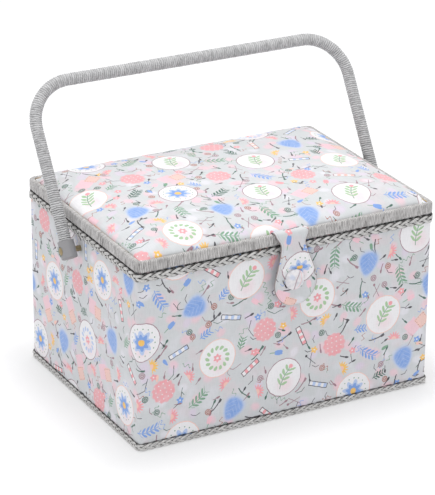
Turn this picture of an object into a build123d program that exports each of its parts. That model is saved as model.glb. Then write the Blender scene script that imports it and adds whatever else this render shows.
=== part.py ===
from build123d import *
import math
import os

os.makedirs("parts", exist_ok=True)

# Lid rim, measured over its cord winding
rim_length = 324.0
rim_depth = 242.6
rim_corner = 8.0
rim_height = 11.5
rim_bottom = 184.0
rim_top_round = 2.2
rim_low_round = 0.8
winding_t = 1.2
rail_width = 4.2

# Walls of the base, from the outside in
body_inset = 1.9
base_corner = 4.2
fabric_t = 1.2
board_t = 3.5
lining_t = 0.8
seam_gap = 0.3
fold_t = 0.8
underside_t = 1.5
underside_inset = 1.0
floor_t = 4.0

# Plaited braids round the foot and under the lid
braid_t = 1.9
braid_round = 0.8
foot_braid_height = 9.0
foot_braid_lift = 0.4
top_braid_height = 8.6
top_braid_drop = 0.8

# Padded lid top
lid_recess = 3.2
lid_lining_t = 0.8
lid_board_t = 3.0
pad_wall = 3.0
pad_roll = 50.0
pad_rise = 12.5
pad_crown = 1.6
pad_corner = 6.0
pad_flat_depth = 76.0
pad_flat_corner = 33.0
pad_steps = 6
pad_swing = 81.0
cover_t = 0.8
layer_gap = 0.1

# Pouf for pins and gathered pocket, under the lid
pin_pad_inset = 60.0
pin_pad_radius = 30.0
pin_pad_depth = 14.0
pin_pad_edge = 10.0
pin_pad_flat = 12.0
pin_pad_roundness = 0.45
pocket_side_gap = 25.0
pocket_length = 150.0
pocket_width = 78.0
pocket_depth = 7.4
pocket_sheet = 1.2
pocket_corner = 9.0
elastic_width = 6.0
elastic_t = 1.0

# Closing tab with its covered button and magnet
tab_width = 26.0
tab_t = 3.0
tab_gap = 0.4
tab_flare_width = 37.0
tab_flare_radius = 15.0
tab_flare_drop = 12.5
tab_lobe_radius = 23.5
tab_lobe_offset = 4.5
tab_blend = 14.0
tab_standoff = 4.3
root_t = 2.0
root_gap = 0.3
button_drop = 33.7
button_radius = 10.3
button_edge = 1.6
button_dome = 5.0
button_draw_in = 0.8
magnet_radius = 9.0
magnet_gap = 0.3
magnet_margin = 1.0
plate_t = 3.0
plate_chamfer = 0.5

# Hinges at the back, with knuckles just behind the rim
hinge_inset = 70.0
knuckle_radius = 2.4
pin_radius = 1.2
running_fit = 0.05
hinge_clear = 0.4
leaf_t = 0.8
leaf_length = 30.0
leaf_reach = 8.0
knuckle_gap = 0.3
knuckle_count = 3

# Carrying handle, leaning back as it stands
pivot_y = 4.0
pivot_drop = 20.5
lean = 31.8
leg_clear = 11.4
shoulder_spread = 1.0
handle_rise = 163.2
handle_bend = 43.0
grip_radius = 6.1
core_radius = 4.4
core_foot = 3.6
ferrule_radius = 8.0
ferrule_below = 8.4
ferrule_above = 9.3
ferrule_round = 1.4
spot_depth = 0.8
spot_radius = 4.6
rivet_radius = 2.0
rivet_head_radius = 4.0
rivet_head_rise = 1.5
rivet_tail_radius = 3.2
rivet_tail_rise = 1.2
washer_radius = 5.0
washer_t = 0.8
spacer_radius = 2.8
side_play = 0.2

# Lift-out tray and the ledges that carry it
tray_drop = 25.7
tray_depth = 34.0
tray_wall = 1.8
flange_t = 2.0
ledge_width = 8.0
ledge_height = 10.0
ledge_end_gap = 6.0
tray_side_gap = 0.8
rivet_clear = 0.7
tray_corner = 5.0
tray_draft = 2.0
long_cell_width = 52.0
cell_columns = 3
cell_rows = 2

# Levels and outlines that follow from the sizes above
base_length = rim_length - 2 * body_inset
base_depth = rim_depth - 2 * body_inset
base_top = rim_bottom - seam_gap
panel_top = base_top - fold_t
board_length = base_length - 2 * fabric_t
board_depth = base_depth - 2 * fabric_t
inner_length = board_length - 2 * board_t
inner_depth = board_depth - 2 * board_t
clear_length = inner_length - 2 * lining_t
clear_depth = inner_depth - 2 * lining_t
floor_top = underside_t + floor_t
rim_band = winding_t + rail_width
rim_top = rim_bottom + rim_height
pad_length = rim_length - 2 * rim_band
pad_depth = rim_depth - 2 * rim_band
lid_lining_z = rim_bottom + lid_recess
lid_board_z = lid_lining_z + lid_lining_t
pad_base = lid_board_z + lid_board_t
pad_plateau = (pad_depth - pad_flat_depth) / 2
pad_corner_growth = (pad_flat_corner - pad_corner) / pad_plateau
pin_pad_x = pad_length / 2 - pin_pad_inset
pocket_x = -(pad_length / 2 - pocket_side_gap - pocket_length / 2)
hinge_x = rim_length / 2 - hinge_inset
hinge_y = rim_depth / 2 + hinge_clear + knuckle_radius
hinge_z = (base_top + rim_bottom) / 2
tab_axis_y = -(rim_depth / 2 + tab_gap + tab_t / 2)
tab_axis_z = rim_top + tab_t / 2
tab_back_y = tab_axis_y - tab_standoff + tab_t / 2
tab_front_y = tab_back_y - tab_t
button_height = base_top - button_drop
tab_lobe_height = button_height - tab_lobe_offset
tab_straight_to = button_height + magnet_radius + magnet_margin
tray_top = base_top - tray_drop
pivot_z = base_top - pivot_drop
leg_x = rim_length / 2 + leg_clear
shoulder_x = leg_x + shoulder_spread
leg_splay = math.atan((shoulder_x - leg_x) / handle_rise)


def save(part, label):
    """Label one finished piece and write it under its own name."""
    part.label = label
    export_step(part, f"parts/{label}.step")


def ring(length, depth, corner, inset, bottom, height):
    """Upright wall round the box: outer outline less the same outline drawn in."""
    with BuildPart() as wall:
        with BuildSketch(Plane.XY.offset(bottom)):
            RectangleRounded(length, depth, corner)
            offset(amount=-inset, kind=Kind.ARC, mode=Mode.SUBTRACT)
        extrude(amount=height)
    return wall.part


# Underside: a stiff covered sheet that the whole box stands on
with BuildPart() as underside:
    with BuildSketch():
        RectangleRounded(
            base_length - 2 * underside_inset,
            base_depth - 2 * underside_inset,
            base_corner - underside_inset,
        )
    extrude(amount=underside_t)
save(underside.part, "underside")

with BuildPart() as floor_board:
    with BuildSketch(Plane.XY.offset(underside_t)):
        Rectangle(inner_length, inner_depth)
    extrude(amount=floor_t)
save(floor_board.part, "floor_board")

# Front and back boards run the full length, with their outer edges rounded
for label, side in (("front_board", -1), ("back_board", 1)):
    with BuildPart() as long_board:
        with BuildSketch(Plane.XY.offset(underside_t)):
            with Locations((0, side * (board_depth - board_t) / 2)):
                Rectangle(board_length, board_t)
            fillet(
                vertices().group_by(Axis.Y)[0 if side < 0 else -1],
                base_corner - fabric_t,
            )
        extrude(amount=panel_top - underside_t)
    save(long_board.part, label)

# Side boards stand between them, each bored for the rivet of the handle
for label, side in (("left_board", -1), ("right_board", 1)):
    with BuildPart() as side_board:
        with BuildSketch(Plane.XY.offset(underside_t)):
            with Locations((side * (board_length - board_t) / 2, 0)):
                Rectangle(board_t, inner_depth)
        extrude(amount=panel_top - underside_t)
        with BuildSketch(Plane.YZ.offset(side * board_length / 2)):
            with Locations((pivot_y, pivot_z)):
                Circle(rivet_radius + running_fit)
        extrude(amount=-side * board_t, mode=Mode.SUBTRACT)
    save(side_board.part, label)


def hinge_plates(bottom, thickness, margin):
    """Plates of the two hinges, from their pins forward over the wall."""
    with BuildPart() as plates:
        with BuildSketch(Plane.XY.offset(bottom)):
            with Locations(*[(s * hinge_x, hinge_y - leaf_reach / 2) for s in (-1, 1)]):
                Rectangle(leaf_length + 2 * margin, leaf_reach + 2 * margin)
        extrude(amount=thickness)
    return plates.part


# Outer fabric: printed cloth over thin wadding, folded over the top edge
fabric_skin = ring(
    base_length, base_depth, base_corner, fabric_t, underside_t, panel_top - underside_t
)
fold = ring(
    base_length,
    base_depth,
    base_corner,
    fabric_t + board_t + lining_t,
    panel_top,
    fold_t,
)
leaf_room = hinge_plates(panel_top, fold_t, layer_gap)
with BuildPart() as outer_fabric:
    add(fabric_skin)
    add(fold)
    add(leaf_room, mode=Mode.SUBTRACT)
    for side in (-1, 1):
        with BuildSketch(Plane.YZ.offset(side * base_length / 2)):
            with Locations((pivot_y, pivot_z)):
                Circle(rivet_radius + running_fit)
        extrude(amount=-side * fabric_t, mode=Mode.SUBTRACT)
save(outer_fabric.part, "outer_fabric")

# Lining: cloth on the floor and up the inside of the four walls
with BuildPart() as base_lining:
    with BuildSketch(Plane.XY.offset(floor_top)):
        Rectangle(inner_length, inner_depth)
    extrude(amount=panel_top - floor_top)
    with BuildSketch(Plane.XY.offset(floor_top + lining_t)):
        Rectangle(clear_length, clear_depth)
    extrude(amount=panel_top - floor_top, mode=Mode.SUBTRACT)
    for side in (-1, 1):
        with BuildSketch(Plane.YZ.offset(side * inner_length / 2)):
            with Locations((pivot_y, pivot_z)):
                Circle(rivet_radius + running_fit)
        extrude(amount=-side * lining_t, mode=Mode.SUBTRACT)
save(base_lining.part, "base_lining")


def braid(bottom, height):
    """Flat plaited band round the base, its edges rolled over."""
    with BuildPart() as band:
        with BuildSketch(Plane.XY.offset(bottom)):
            RectangleRounded(
                base_length + 2 * braid_t,
                base_depth + 2 * braid_t,
                base_corner + braid_t,
            )
        extrude(amount=height)
        fillet(faces().filter_by(Axis.Z).edges(), braid_round)
        with BuildSketch(Plane.XY.offset(bottom)):
            RectangleRounded(base_length, base_depth, base_corner)
        extrude(amount=height, mode=Mode.SUBTRACT)
    return band.part


save(braid(foot_braid_lift, foot_braid_height), "foot_braid")
save(braid(base_top - top_braid_drop - top_braid_height, top_braid_height), "top_braid")

# Ledges: wooden strips glued to the lining, which the tray's flange rests on
for label, side in (("left_ledge", -1), ("right_ledge", 1)):
    with BuildPart() as ledge:
        with BuildSketch(Plane.XY.offset(tray_top - flange_t - ledge_height)):
            with Locations((side * (clear_length - ledge_width) / 2, 0)):
                Rectangle(ledge_width, clear_depth - 2 * ledge_end_gap)
        extrude(amount=ledge_height)
    save(ledge.part, label)

# Steel plate of the magnetic closure, on the front cloth
with BuildPart() as closure_plate:
    with BuildSketch(Plane.XZ.offset(base_depth / 2)):
        with Locations((0, button_height)):
            Circle(magnet_radius)
    extrude(amount=plate_t)
    chamfer(faces().sort_by(Axis.Y)[0].edges(), plate_chamfer)
save(closure_plate.part, "closure_plate")


def leaves(bottom, outer_knuckles):
    """Leaves of both hinges on one side of the seam, each with its own knuckles."""
    pitch = (leaf_length + knuckle_gap) / knuckle_count
    with BuildPart() as pair:
        add(hinge_plates(bottom, leaf_t, 0))
        for hinge in (-1, 1):
            for k in range(knuckle_count):
                centre = hinge * hinge_x + (k - (knuckle_count - 1) / 2) * pitch
                if (k % 2 == 0) == outer_knuckles:
                    with BuildSketch(Plane.YZ.offset(centre)):
                        with Locations((hinge_y, hinge_z)):
                            Circle(knuckle_radius)
                    extrude(amount=(pitch - knuckle_gap) / 2, both=True)
                else:
                    with BuildSketch(Plane.YZ.offset(centre)):
                        with Locations((hinge_y, hinge_z)):
                            Rectangle(
                                2 * (knuckle_radius + hinge_clear),
                                2 * (knuckle_radius + hinge_clear),
                            )
                    extrude(
                        amount=(pitch + knuckle_gap) / 2,
                        both=True,
                        mode=Mode.SUBTRACT,
                    )
        with BuildSketch(Plane.YZ.offset(-rim_length / 2)):
            with Locations((hinge_y, hinge_z)):
                Circle(pin_radius + running_fit)
        extrude(amount=rim_length, mode=Mode.SUBTRACT)
    return pair.part


save(leaves(panel_top, True), "base_hinge_leaves")

with BuildPart() as hinge_pins:
    for hinge in (-1, 1):
        with BuildSketch(Plane.YZ.offset(hinge * hinge_x)):
            with Locations((hinge_y, hinge_z)):
                Circle(pin_radius)
        extrude(amount=leaf_length / 2, both=True)
save(hinge_pins.part, "hinge_pins")

# Pivots of the handle: rivet, spacer outside the wall and washer inside it
pivot_axis = Axis((0, pivot_y, pivot_z), (1, 0, 0))
washer_x = clear_length / 2 - washer_t
head_x = leg_x + ferrule_radius - spot_depth + side_play
spacer_end_x = leg_x - ferrule_radius + spot_depth - side_play
for word, side in (("left", -1), ("right", 1)):
    section = Plane((0, pivot_y, pivot_z), x_dir=(side, 0, 0), z_dir=(0, -side, 0))
    with BuildPart() as rivet:
        with BuildSketch(section):
            with BuildLine():
                Polyline(
                    (washer_x - rivet_tail_rise, 0),
                    (washer_x - rivet_tail_rise, rivet_tail_radius - rivet_tail_rise),
                    (washer_x, rivet_tail_radius),
                    (washer_x, rivet_radius),
                    (head_x, rivet_radius),
                    (head_x, rivet_head_radius),
                )
                TangentArc(
                    (head_x + rivet_head_rise, 0),
                    (head_x, rivet_head_radius),
                    tangent=(0, 1),
                )
                Line((head_x + rivet_head_rise, 0), (washer_x - rivet_tail_rise, 0))
            make_face()
        revolve(axis=pivot_axis)
    save(rivet.part, f"{word}_rivet")

with BuildPart() as pivot_spacers:
    for side in (-1, 1):
        with BuildSketch(Plane.YZ.offset(side * base_length / 2)):
            with Locations((pivot_y, pivot_z)):
                Circle(spacer_radius)
                Circle(rivet_radius + running_fit, mode=Mode.SUBTRACT)
        extrude(amount=side * (spacer_end_x - base_length / 2))
save(pivot_spacers.part, "pivot_spacers")

with BuildPart() as pivot_washers:
    for side in (-1, 1):
        with BuildSketch(Plane.YZ.offset(side * clear_length / 2)):
            with Locations((pivot_y, pivot_z)):
                Circle(washer_radius)
                Circle(rivet_radius + running_fit, mode=Mode.SUBTRACT)
        extrude(amount=-side * washer_t)
save(pivot_washers.part, "pivot_washers")

# Lid frame: four wooden rails mitred at the corners
rail_height = rim_height - 2 * winding_t
for quarter, label in enumerate(("front_rail", "right_rail", "back_rail", "left_rail")):
    run = pad_depth if quarter % 2 else pad_length
    span = pad_length if quarter % 2 else pad_depth
    with BuildPart() as rail:
        with BuildSketch(Plane.XY.offset(rim_bottom + winding_t)):
            RectangleRounded(
                rim_length - 2 * winding_t,
                rim_depth - 2 * winding_t,
                rim_corner - winding_t,
            )
            Rectangle(pad_length, pad_depth, mode=Mode.SUBTRACT)
        extrude(amount=rail_height)
        with BuildSketch(Plane.XY.offset(rim_bottom).rotated((0, 0, quarter * 90))):
            with BuildLine():
                Polyline(
                    (-run / 2, -span / 2),
                    (run / 2, -span / 2),
                    (run / 2 + rim_band, -span / 2 - rim_band),
                    (-run / 2 - rim_band, -span / 2 - rim_band),
                    close=True,
                )
            make_face()
        extrude(amount=rim_height, mode=Mode.INTERSECT)
    save(rail.part, label)

# Cord winding over the rails: outside, top and underside, with rolled edges
lid_leaf_room = hinge_plates(rim_bottom, winding_t, layer_gap)
with BuildPart() as rim_winding:
    with BuildSketch(Plane.XY.offset(rim_bottom)):
        RectangleRounded(rim_length, rim_depth, rim_corner)
    extrude(amount=rim_height)
    fillet(faces().sort_by(Axis.Z)[-1].edges(), rim_top_round)
    fillet(faces().sort_by(Axis.Z)[0].edges(), rim_low_round)
    with BuildSketch(Plane.XY.offset(rim_bottom)):
        Rectangle(pad_length, pad_depth)
    extrude(amount=rim_height, mode=Mode.SUBTRACT)
    with BuildSketch(Plane.XY.offset(rim_bottom + winding_t)):
        RectangleRounded(
            rim_length - 2 * winding_t,
            rim_depth - 2 * winding_t,
            rim_corner - winding_t,
        )
    extrude(amount=rail_height, mode=Mode.SUBTRACT)
    add(lid_leaf_room, mode=Mode.SUBTRACT)
save(rim_winding.part, "rim_winding")

save(leaves(rim_bottom + winding_t - leaf_t, False), "lid_hinge_leaves")

with BuildPart() as lid_board:
    with BuildSketch(Plane.XY.offset(lid_board_z)):
        Rectangle(pad_length, pad_depth)
    extrude(amount=lid_board_t)
save(lid_board.part, "lid_board")

with BuildPart() as lid_lining:
    with BuildSketch(Plane.XY.offset(lid_lining_z)):
        Rectangle(pad_length, pad_depth)
    extrude(amount=lid_lining_t)
save(lid_lining.part, "lid_lining")


def pad_form(shrink):
    """Crowned pad inside the rim: short upright sides that roll over to the crown."""
    length = pad_length - 2 * (shrink + layer_gap)
    depth = pad_depth - 2 * (shrink + layer_gap)
    spring = pad_base + pad_wall
    levels = []
    for k in range(pad_steps + 1):
        swing = math.radians(pad_swing * k / pad_steps)
        levels.append(
            (
                pad_roll * (1 - math.cos(swing)),
                spring + (pad_rise - shrink) * math.sin(swing),
            )
        )
    levels.append((pad_plateau, spring + pad_rise + pad_crown - shrink))
    with BuildPart() as form:
        with BuildSketch(Plane.XY.offset(pad_base)):
            RectangleRounded(length, depth, pad_corner)
        extrude(amount=pad_wall)
        for inset, level in levels:
            with BuildSketch(Plane.XY.offset(level)):
                RectangleRounded(
                    length - 2 * inset,
                    depth - 2 * inset,
                    pad_corner + pad_corner_growth * inset,
                )
        loft(ruled=True)
    return form.part


save(pad_form(cover_t + layer_gap), "lid_foam")

outer_form = pad_form(0)
inner_form = pad_form(cover_t)
with BuildPart() as lid_cover:
    add(outer_form)
    add(inner_form, mode=Mode.SUBTRACT)
save(lid_cover.part, "lid_cover")

# Pouf for pins: a crowned round cushion, drawn in where it is sewn to the lining,
# and flat in the middle
with BuildPart() as pin_pad:
    with BuildSketch(Plane((pin_pad_x, 0, lid_lining_z), x_dir=(1, 0, 0), z_dir=(0, -1, 0))):
        with BuildLine():
            Polyline(
                (0, -pin_pad_depth),
                (0, 0),
                (pin_pad_radius, 0),
                (pin_pad_radius, -pin_pad_edge),
                (pin_pad_flat, -pin_pad_depth),
                close=True,
            )
        make_face()
        chamfer(vertices().group_by(Axis.X)[-1], pin_pad_roundness * pin_pad_edge)
    revolve(axis=Axis((pin_pad_x, 0, 0), (0, 0, 1)))
save(pin_pad.part, "pin_cushion")

# Gathered pocket: a bowed sheet sewn along three sides, its mouth towards the front
with BuildPart() as lid_pocket:
    with BuildSketch(Plane.XY.offset(lid_lining_z)):
        with Locations((pocket_x, 0)):
            RectangleRounded(pocket_length, pocket_width, pocket_corner)
    extrude(amount=-pocket_depth)
    with BuildSketch(Plane.XY.offset(lid_lining_z)):
        with Locations((pocket_x, 0)):
            RectangleRounded(
                pocket_length - 2 * pocket_sheet,
                pocket_width - 2 * pocket_sheet,
                pocket_corner - pocket_sheet,
            )
        with Locations((pocket_x, -pocket_width / 4)):
            Rectangle(pocket_length - 2 * pocket_corner, pocket_width / 2)
    extrude(amount=-(pocket_depth - pocket_sheet), mode=Mode.SUBTRACT)
save(lid_pocket.part, "lid_pocket")

with BuildPart() as pocket_elastic:
    with BuildSketch(Plane.XY.offset(lid_lining_z - pocket_depth)):
        with Locations((pocket_x, -pocket_width / 2 + pocket_corner)):
            Rectangle(pocket_length - 2 * pocket_corner, elastic_width)
    extrude(amount=-elastic_t)
save(pocket_elastic.part, "pocket_elastic")

# Root of the closing tab, sewn down over the top of the rim
with BuildPart() as tab_root:
    root_front = tab_axis_y + tab_t / 2 + root_gap
    root_back = -pad_depth / 2
    with BuildSketch(Plane.XY.offset(rim_top)):
        with Locations((0, (root_front + root_back) / 2)):
            Rectangle(tab_flare_width, root_back - root_front)
    extrude(amount=root_t)
    fillet(faces().sort_by(Axis.Z)[-1].edges().sort_by(Axis.Y)[0], root_t / 2)
save(tab_root.part, "tab_root")

# Closing tab: a padded strap, flared where it leaves the rim, that hangs to a round lobe
lobe_join = tab_lobe_height + math.sqrt(tab_lobe_radius**2 - (tab_width / 2) ** 2)
hang_y = tab_axis_y - tab_standoff
flare_x = tab_width / 2 + tab_flare_radius
with BuildPart() as closure_tab:
    with BuildSketch(Plane.YZ):
        with BuildLine():
            TangentArc(
                (hang_y, tab_straight_to), (tab_axis_y, tab_axis_z), tangent=(0, 1)
            )
            Line((hang_y, tab_lobe_height - tab_lobe_radius), (hang_y, tab_straight_to))
        trace(line_width=tab_t)
        with Locations((tab_axis_y, tab_axis_z)):
            Circle(tab_t / 2)
    extrude(amount=tab_lobe_radius, both=True)
    with BuildSketch(Plane.XZ.offset(-tab_axis_y - tab_t)):
        with Locations((0, tab_axis_z)):
            Rectangle(tab_flare_width, 2 * tab_flare_drop)
        with Locations(*[(s * flare_x, tab_axis_z - tab_flare_drop) for s in (-1, 1)]):
            Circle(tab_flare_radius, mode=Mode.SUBTRACT)
        with Locations((0, (tab_lobe_height + tab_axis_z) / 2)):
            Rectangle(tab_width, tab_axis_z - tab_lobe_height)
        with Locations((0, tab_lobe_height)):
            Circle(tab_lobe_radius)
        fillet(
            vertices().filter_by_position(Axis.Y, lobe_join - tab_t, lobe_join + tab_t),
            tab_blend,
        )
    extrude(amount=tab_standoff + 2 * tab_t, mode=Mode.INTERSECT)
save(closure_tab.part, "closure_tab")

with BuildPart() as covered_button:
    face_plane = Plane((0, tab_front_y, button_height), x_dir=(1, 0, 0), z_dir=(0, 0, 1))
    with BuildSketch(face_plane):
        with BuildLine():
            Polyline(
                (0, -button_edge - button_dome),
                (0, 0),
                (button_radius - button_draw_in, 0),
                (button_radius, -button_edge),
            )
            TangentArc(
                (0, -button_edge - button_dome),
                (button_radius, -button_edge),
                tangent=(1, 0),
            )
        make_face()
    revolve(axis=Axis((0, tab_front_y, button_height), (0, 1, 0)))
save(covered_button.part, "covered_button")

# Magnet on the back of the tab, which meets the plate on the box
with BuildPart() as tab_magnet:
    with BuildSketch(Plane.XZ.offset(-tab_back_y)):
        with Locations((0, button_height)):
            Circle(magnet_radius)
    extrude(amount=tab_back_y + base_depth / 2 + plate_t + magnet_gap)
    chamfer(faces().sort_by(Axis.Y)[-1].edges(), plate_chamfer)
save(tab_magnet.part, "tab_magnet")

# Handle: a bent rod in a cord-wound sleeve, its ends held in turned caps
rise = Vector(0, math.sin(math.radians(lean)), math.cos(math.radians(lean)))
handle_plane = Plane(
    (0, pivot_y, pivot_z), x_dir=(1, 0, 0), z_dir=Vector(1, 0, 0).cross(rise)
)


def leg_line(foot):
    """Corners of the handle's centre line, with the legs cut off at this height."""
    foot_x = leg_x + foot * math.tan(leg_splay)
    return (
        (-foot_x, foot),
        (-shoulder_x, handle_rise),
        (shoulder_x, handle_rise),
        (foot_x, foot),
    )


with BuildPart() as handle_core:
    with BuildLine(handle_plane) as core_line:
        FilletPolyline(*leg_line(core_foot), radius=handle_bend)
    with BuildSketch(Plane(core_line.line @ 0, z_dir=core_line.line % 0)):
        Circle(core_radius)
    sweep()
save(handle_core.part, "handle_core")

with BuildPart() as handle_winding:
    with BuildLine(handle_plane) as grip_line:
        FilletPolyline(*leg_line(ferrule_above + layer_gap), radius=handle_bend)
    with BuildSketch(Plane(grip_line.line @ 0, z_dir=grip_line.line % 0)):
        Circle(grip_radius)
        Circle(core_radius + layer_gap, mode=Mode.SUBTRACT)
    sweep()
save(handle_winding.part, "handle_winding")

for word, side in (("left", -1), ("right", 1)):
    pivot_point = Vector(side * leg_x, pivot_y, pivot_z)
    along_leg = rise * math.cos(leg_splay) + Vector(side * math.sin(leg_splay), 0, 0)
    leg_plane = Plane(pivot_point, x_dir=Vector(0, 1, 0).cross(along_leg), z_dir=along_leg)
    with BuildPart() as ferrule:
        with BuildSketch(leg_plane.offset(-ferrule_below)):
            Circle(ferrule_radius)
        extrude(amount=ferrule_below + ferrule_above)
        ends = edges().filter_by(GeomType.CIRCLE)
        fillet(ends.sort_by(Axis(pivot_point, along_leg))[0], ferrule_round)
        with BuildSketch(leg_plane.offset(core_foot - layer_gap)):
            Circle(core_radius + layer_gap)
        extrude(amount=ferrule_above, mode=Mode.SUBTRACT)
        with BuildSketch(Plane.YZ.offset(side * (leg_x - ferrule_radius))):
            with Locations((pivot_y, pivot_z)):
                Circle(rivet_radius + running_fit)
        extrude(amount=side * 2 * ferrule_radius, mode=Mode.SUBTRACT)
        for flat in (-1, 1):
            flat_x = leg_x + flat * (ferrule_radius - spot_depth)
            with BuildSketch(Plane.YZ.offset(side * flat_x)):
                with Locations((pivot_y, pivot_z)):
                    Circle(spot_radius)
            extrude(amount=side * flat * ferrule_radius, mode=Mode.SUBTRACT)
    save(ferrule.part, f"{word}_ferrule")

# Lift-out tray: one moulding with a long cell in front and rows of square ones behind
flange_length = 2 * (washer_x - rivet_tail_rise - rivet_clear)
tray_length = clear_length - 2 * (ledge_width + tray_side_gap)
tray_span = clear_depth - 2 * tray_side_gap
row_width = (tray_span - long_cell_width - (cell_rows + 2) * tray_wall) / cell_rows
column_length = (tray_length - (cell_columns + 1) * tray_wall) / cell_columns
with BuildPart() as tray:
    with BuildSketch(Plane.XY.offset(tray_top)):
        RectangleRounded(tray_length, tray_span, tray_corner)
    extrude(amount=-tray_depth)
    with BuildSketch(Plane.XY.offset(tray_top)):
        RectangleRounded(flange_length, tray_span, tray_corner)
    extrude(amount=-flange_t)
    with BuildSketch(Plane.XY.offset(tray_top)):
        front_y = -tray_span / 2 + tray_wall
        with Locations((0, front_y + long_cell_width / 2)):
            RectangleRounded(tray_length - 2 * tray_wall, long_cell_width, tray_corner)
        first_row = front_y + long_cell_width + tray_wall + row_width / 2
        middle = first_row + (cell_rows - 1) * (row_width + tray_wall) / 2
        with Locations((0, middle)):
            with GridLocations(
                column_length + tray_wall, row_width + tray_wall, cell_columns, cell_rows
            ):
                RectangleRounded(column_length, row_width, tray_corner)
    extrude(amount=-(tray_depth - tray_wall), taper=tray_draft, mode=Mode.SUBTRACT)
save(tray.part, "sewing_tray")
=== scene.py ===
import random
from math import atan, atan2, copysign, cos, exp, hypot, pi, radians, sin, sqrt, tan

import bmesh
import bpy
from mathutils import Matrix, Vector, noise


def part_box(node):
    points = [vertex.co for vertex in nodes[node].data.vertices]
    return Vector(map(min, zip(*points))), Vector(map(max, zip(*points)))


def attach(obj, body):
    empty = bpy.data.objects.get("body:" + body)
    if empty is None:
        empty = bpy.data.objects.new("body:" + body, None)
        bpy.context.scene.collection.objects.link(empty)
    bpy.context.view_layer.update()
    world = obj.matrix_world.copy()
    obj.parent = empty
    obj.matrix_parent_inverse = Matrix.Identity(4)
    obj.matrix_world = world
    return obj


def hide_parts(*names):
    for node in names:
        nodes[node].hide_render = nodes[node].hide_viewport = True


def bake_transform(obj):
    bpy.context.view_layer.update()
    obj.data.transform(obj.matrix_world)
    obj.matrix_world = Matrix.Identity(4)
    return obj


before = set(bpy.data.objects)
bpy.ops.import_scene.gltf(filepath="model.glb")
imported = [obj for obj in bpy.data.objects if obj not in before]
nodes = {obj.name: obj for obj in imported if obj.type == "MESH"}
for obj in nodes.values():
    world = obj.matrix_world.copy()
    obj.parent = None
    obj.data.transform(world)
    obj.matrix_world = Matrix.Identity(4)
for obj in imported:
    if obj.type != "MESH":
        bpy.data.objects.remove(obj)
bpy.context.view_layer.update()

MM = 0.001
rng = random.Random(11)

# Places from the frame

RIM_LOW, RIM_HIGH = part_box("rim_winding")
BASE_LOW, BASE_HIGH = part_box("outer_fabric")
BRAID_LOW, BRAID_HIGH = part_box("top_braid")
FOOT_LOW, FOOT_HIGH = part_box("foot_braid")
PAD_LOW, PAD_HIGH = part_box("lid_cover")
LINING_LOW, LINING_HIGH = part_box("base_lining")
LID_LINING_LOW, LID_LINING_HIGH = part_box("lid_lining")
POUF_LOW, POUF_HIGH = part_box("pin_cushion")
POCKET_LOW, POCKET_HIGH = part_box("lid_pocket")
TAB_LOW, TAB_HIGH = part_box("closure_tab")
BUTTON_LOW, BUTTON_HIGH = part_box("covered_button")
UNDER_LOW, UNDER_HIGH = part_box("underside")
LEAF_LOW, LEAF_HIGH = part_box("base_hinge_leaves")
BOX_CORNER = 4.2 * MM
LINING_THICK = 0.8 * MM


# Mesh helpers


def smooth(a, b, x):
    t = min(max((x - a) / (b - a), 0.0), 1.0)
    return t * t * (3 - 2 * t)


def bell(x, width):
    return exp(-((x / width) ** 2))


def lump(x, y, z):
    """Smooth unevenness of about -1 to 1 at a place."""
    return noise.noise(Vector((x, y, z)))


def smooth_shaded(mesh):
    mesh.polygons.foreach_set("use_smooth", [True] * len(mesh.polygons))


def make(name, part, cloth, shades=None):
    """Object of a part: its verts, its faces and one uv per face corner, or none.

    shades gives one number per vertex under each name.
    """
    verts, faces, uvs = part
    mesh = bpy.data.meshes.new(name)
    mesh.from_pydata(verts, [], faces)
    mesh.materials.append(cloth)
    smooth_shaded(mesh)
    if uvs:
        layer = mesh.uv_layers.new(name="cloth")
        layer.data.foreach_set("uv", [c for pair in uvs for c in pair])
    for label, values in (shades or {}).items():
        shade = mesh.attributes.new(label, "FLOAT", "POINT")
        shade.data.foreach_set("value", values)
    mesh.update()
    obj = bpy.data.objects.new(name, mesh)
    bpy.context.scene.collection.objects.link(obj)
    return obj


def circle(count):
    """Even angles once round."""
    return [2 * pi * k / count for k in range(count)]


def grid(rows, us, vs, wrap_i=False, wrap_j=False, flip=False):
    """Part that is a grid of points, rows[i][j], closed where asked."""
    n, m = len(rows), len(rows[0])
    verts = [p for row in rows for p in row]
    faces, uvs = [], []
    for i in range(n if wrap_i else n - 1):
        for j in range(m if wrap_j else m - 1):
            quad = [(i, j), (i + 1, j), (i + 1, j + 1), (i, j + 1)]
            if flip:
                quad.reverse()
            faces.append([(a % n) * m + b % m for a, b in quad])
            uvs.extend((us[a], vs[b]) for a, b in quad)
    return verts, faces, uvs


def extend(whole, part):
    """Adds one part to another."""
    start = len(whole[0])
    whole[0].extend(part[0])
    whole[1].extend([start + q for q in face] for face in part[1])
    whole[2].extend(part[2])


def cap(part, ring):
    """Closes the end of a part with one face."""
    part[1].append(ring)
    part[2].extend([(0.0, 0.0)] * len(ring))


def weld(obj, distance=0.00001):
    bm = bmesh.new()
    bm.from_mesh(obj.data)
    bmesh.ops.remove_doubles(bm, verts=bm.verts, dist=distance)
    bmesh.ops.dissolve_degenerate(bm, edges=bm.edges, dist=distance)
    bmesh.ops.recalc_face_normals(bm, faces=bm.faces)
    bm.to_mesh(obj.data)
    bm.free()


def modify(obj, kind, **settings):
    """Adds a modifier and applies it at once."""
    modifier = obj.modifiers.new(kind, kind)
    for key, value in settings.items():
        setattr(modifier, key, value)
    graph = bpy.context.evaluated_depsgraph_get()
    graph.update()
    made = bpy.data.meshes.new_from_object(obj.evaluated_get(graph))
    obj.modifiers.clear()
    old = obj.data
    obj.data = made
    bpy.data.meshes.remove(old)


def thicken(obj, thickness, offset=-1):
    modify(obj, "SOLIDIFY", thickness=thickness, offset=offset, use_rim=True)


def place(obj, body, slot, *replaced):
    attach(obj, body)
    if replaced:
        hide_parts(*replaced)
    return obj


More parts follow.
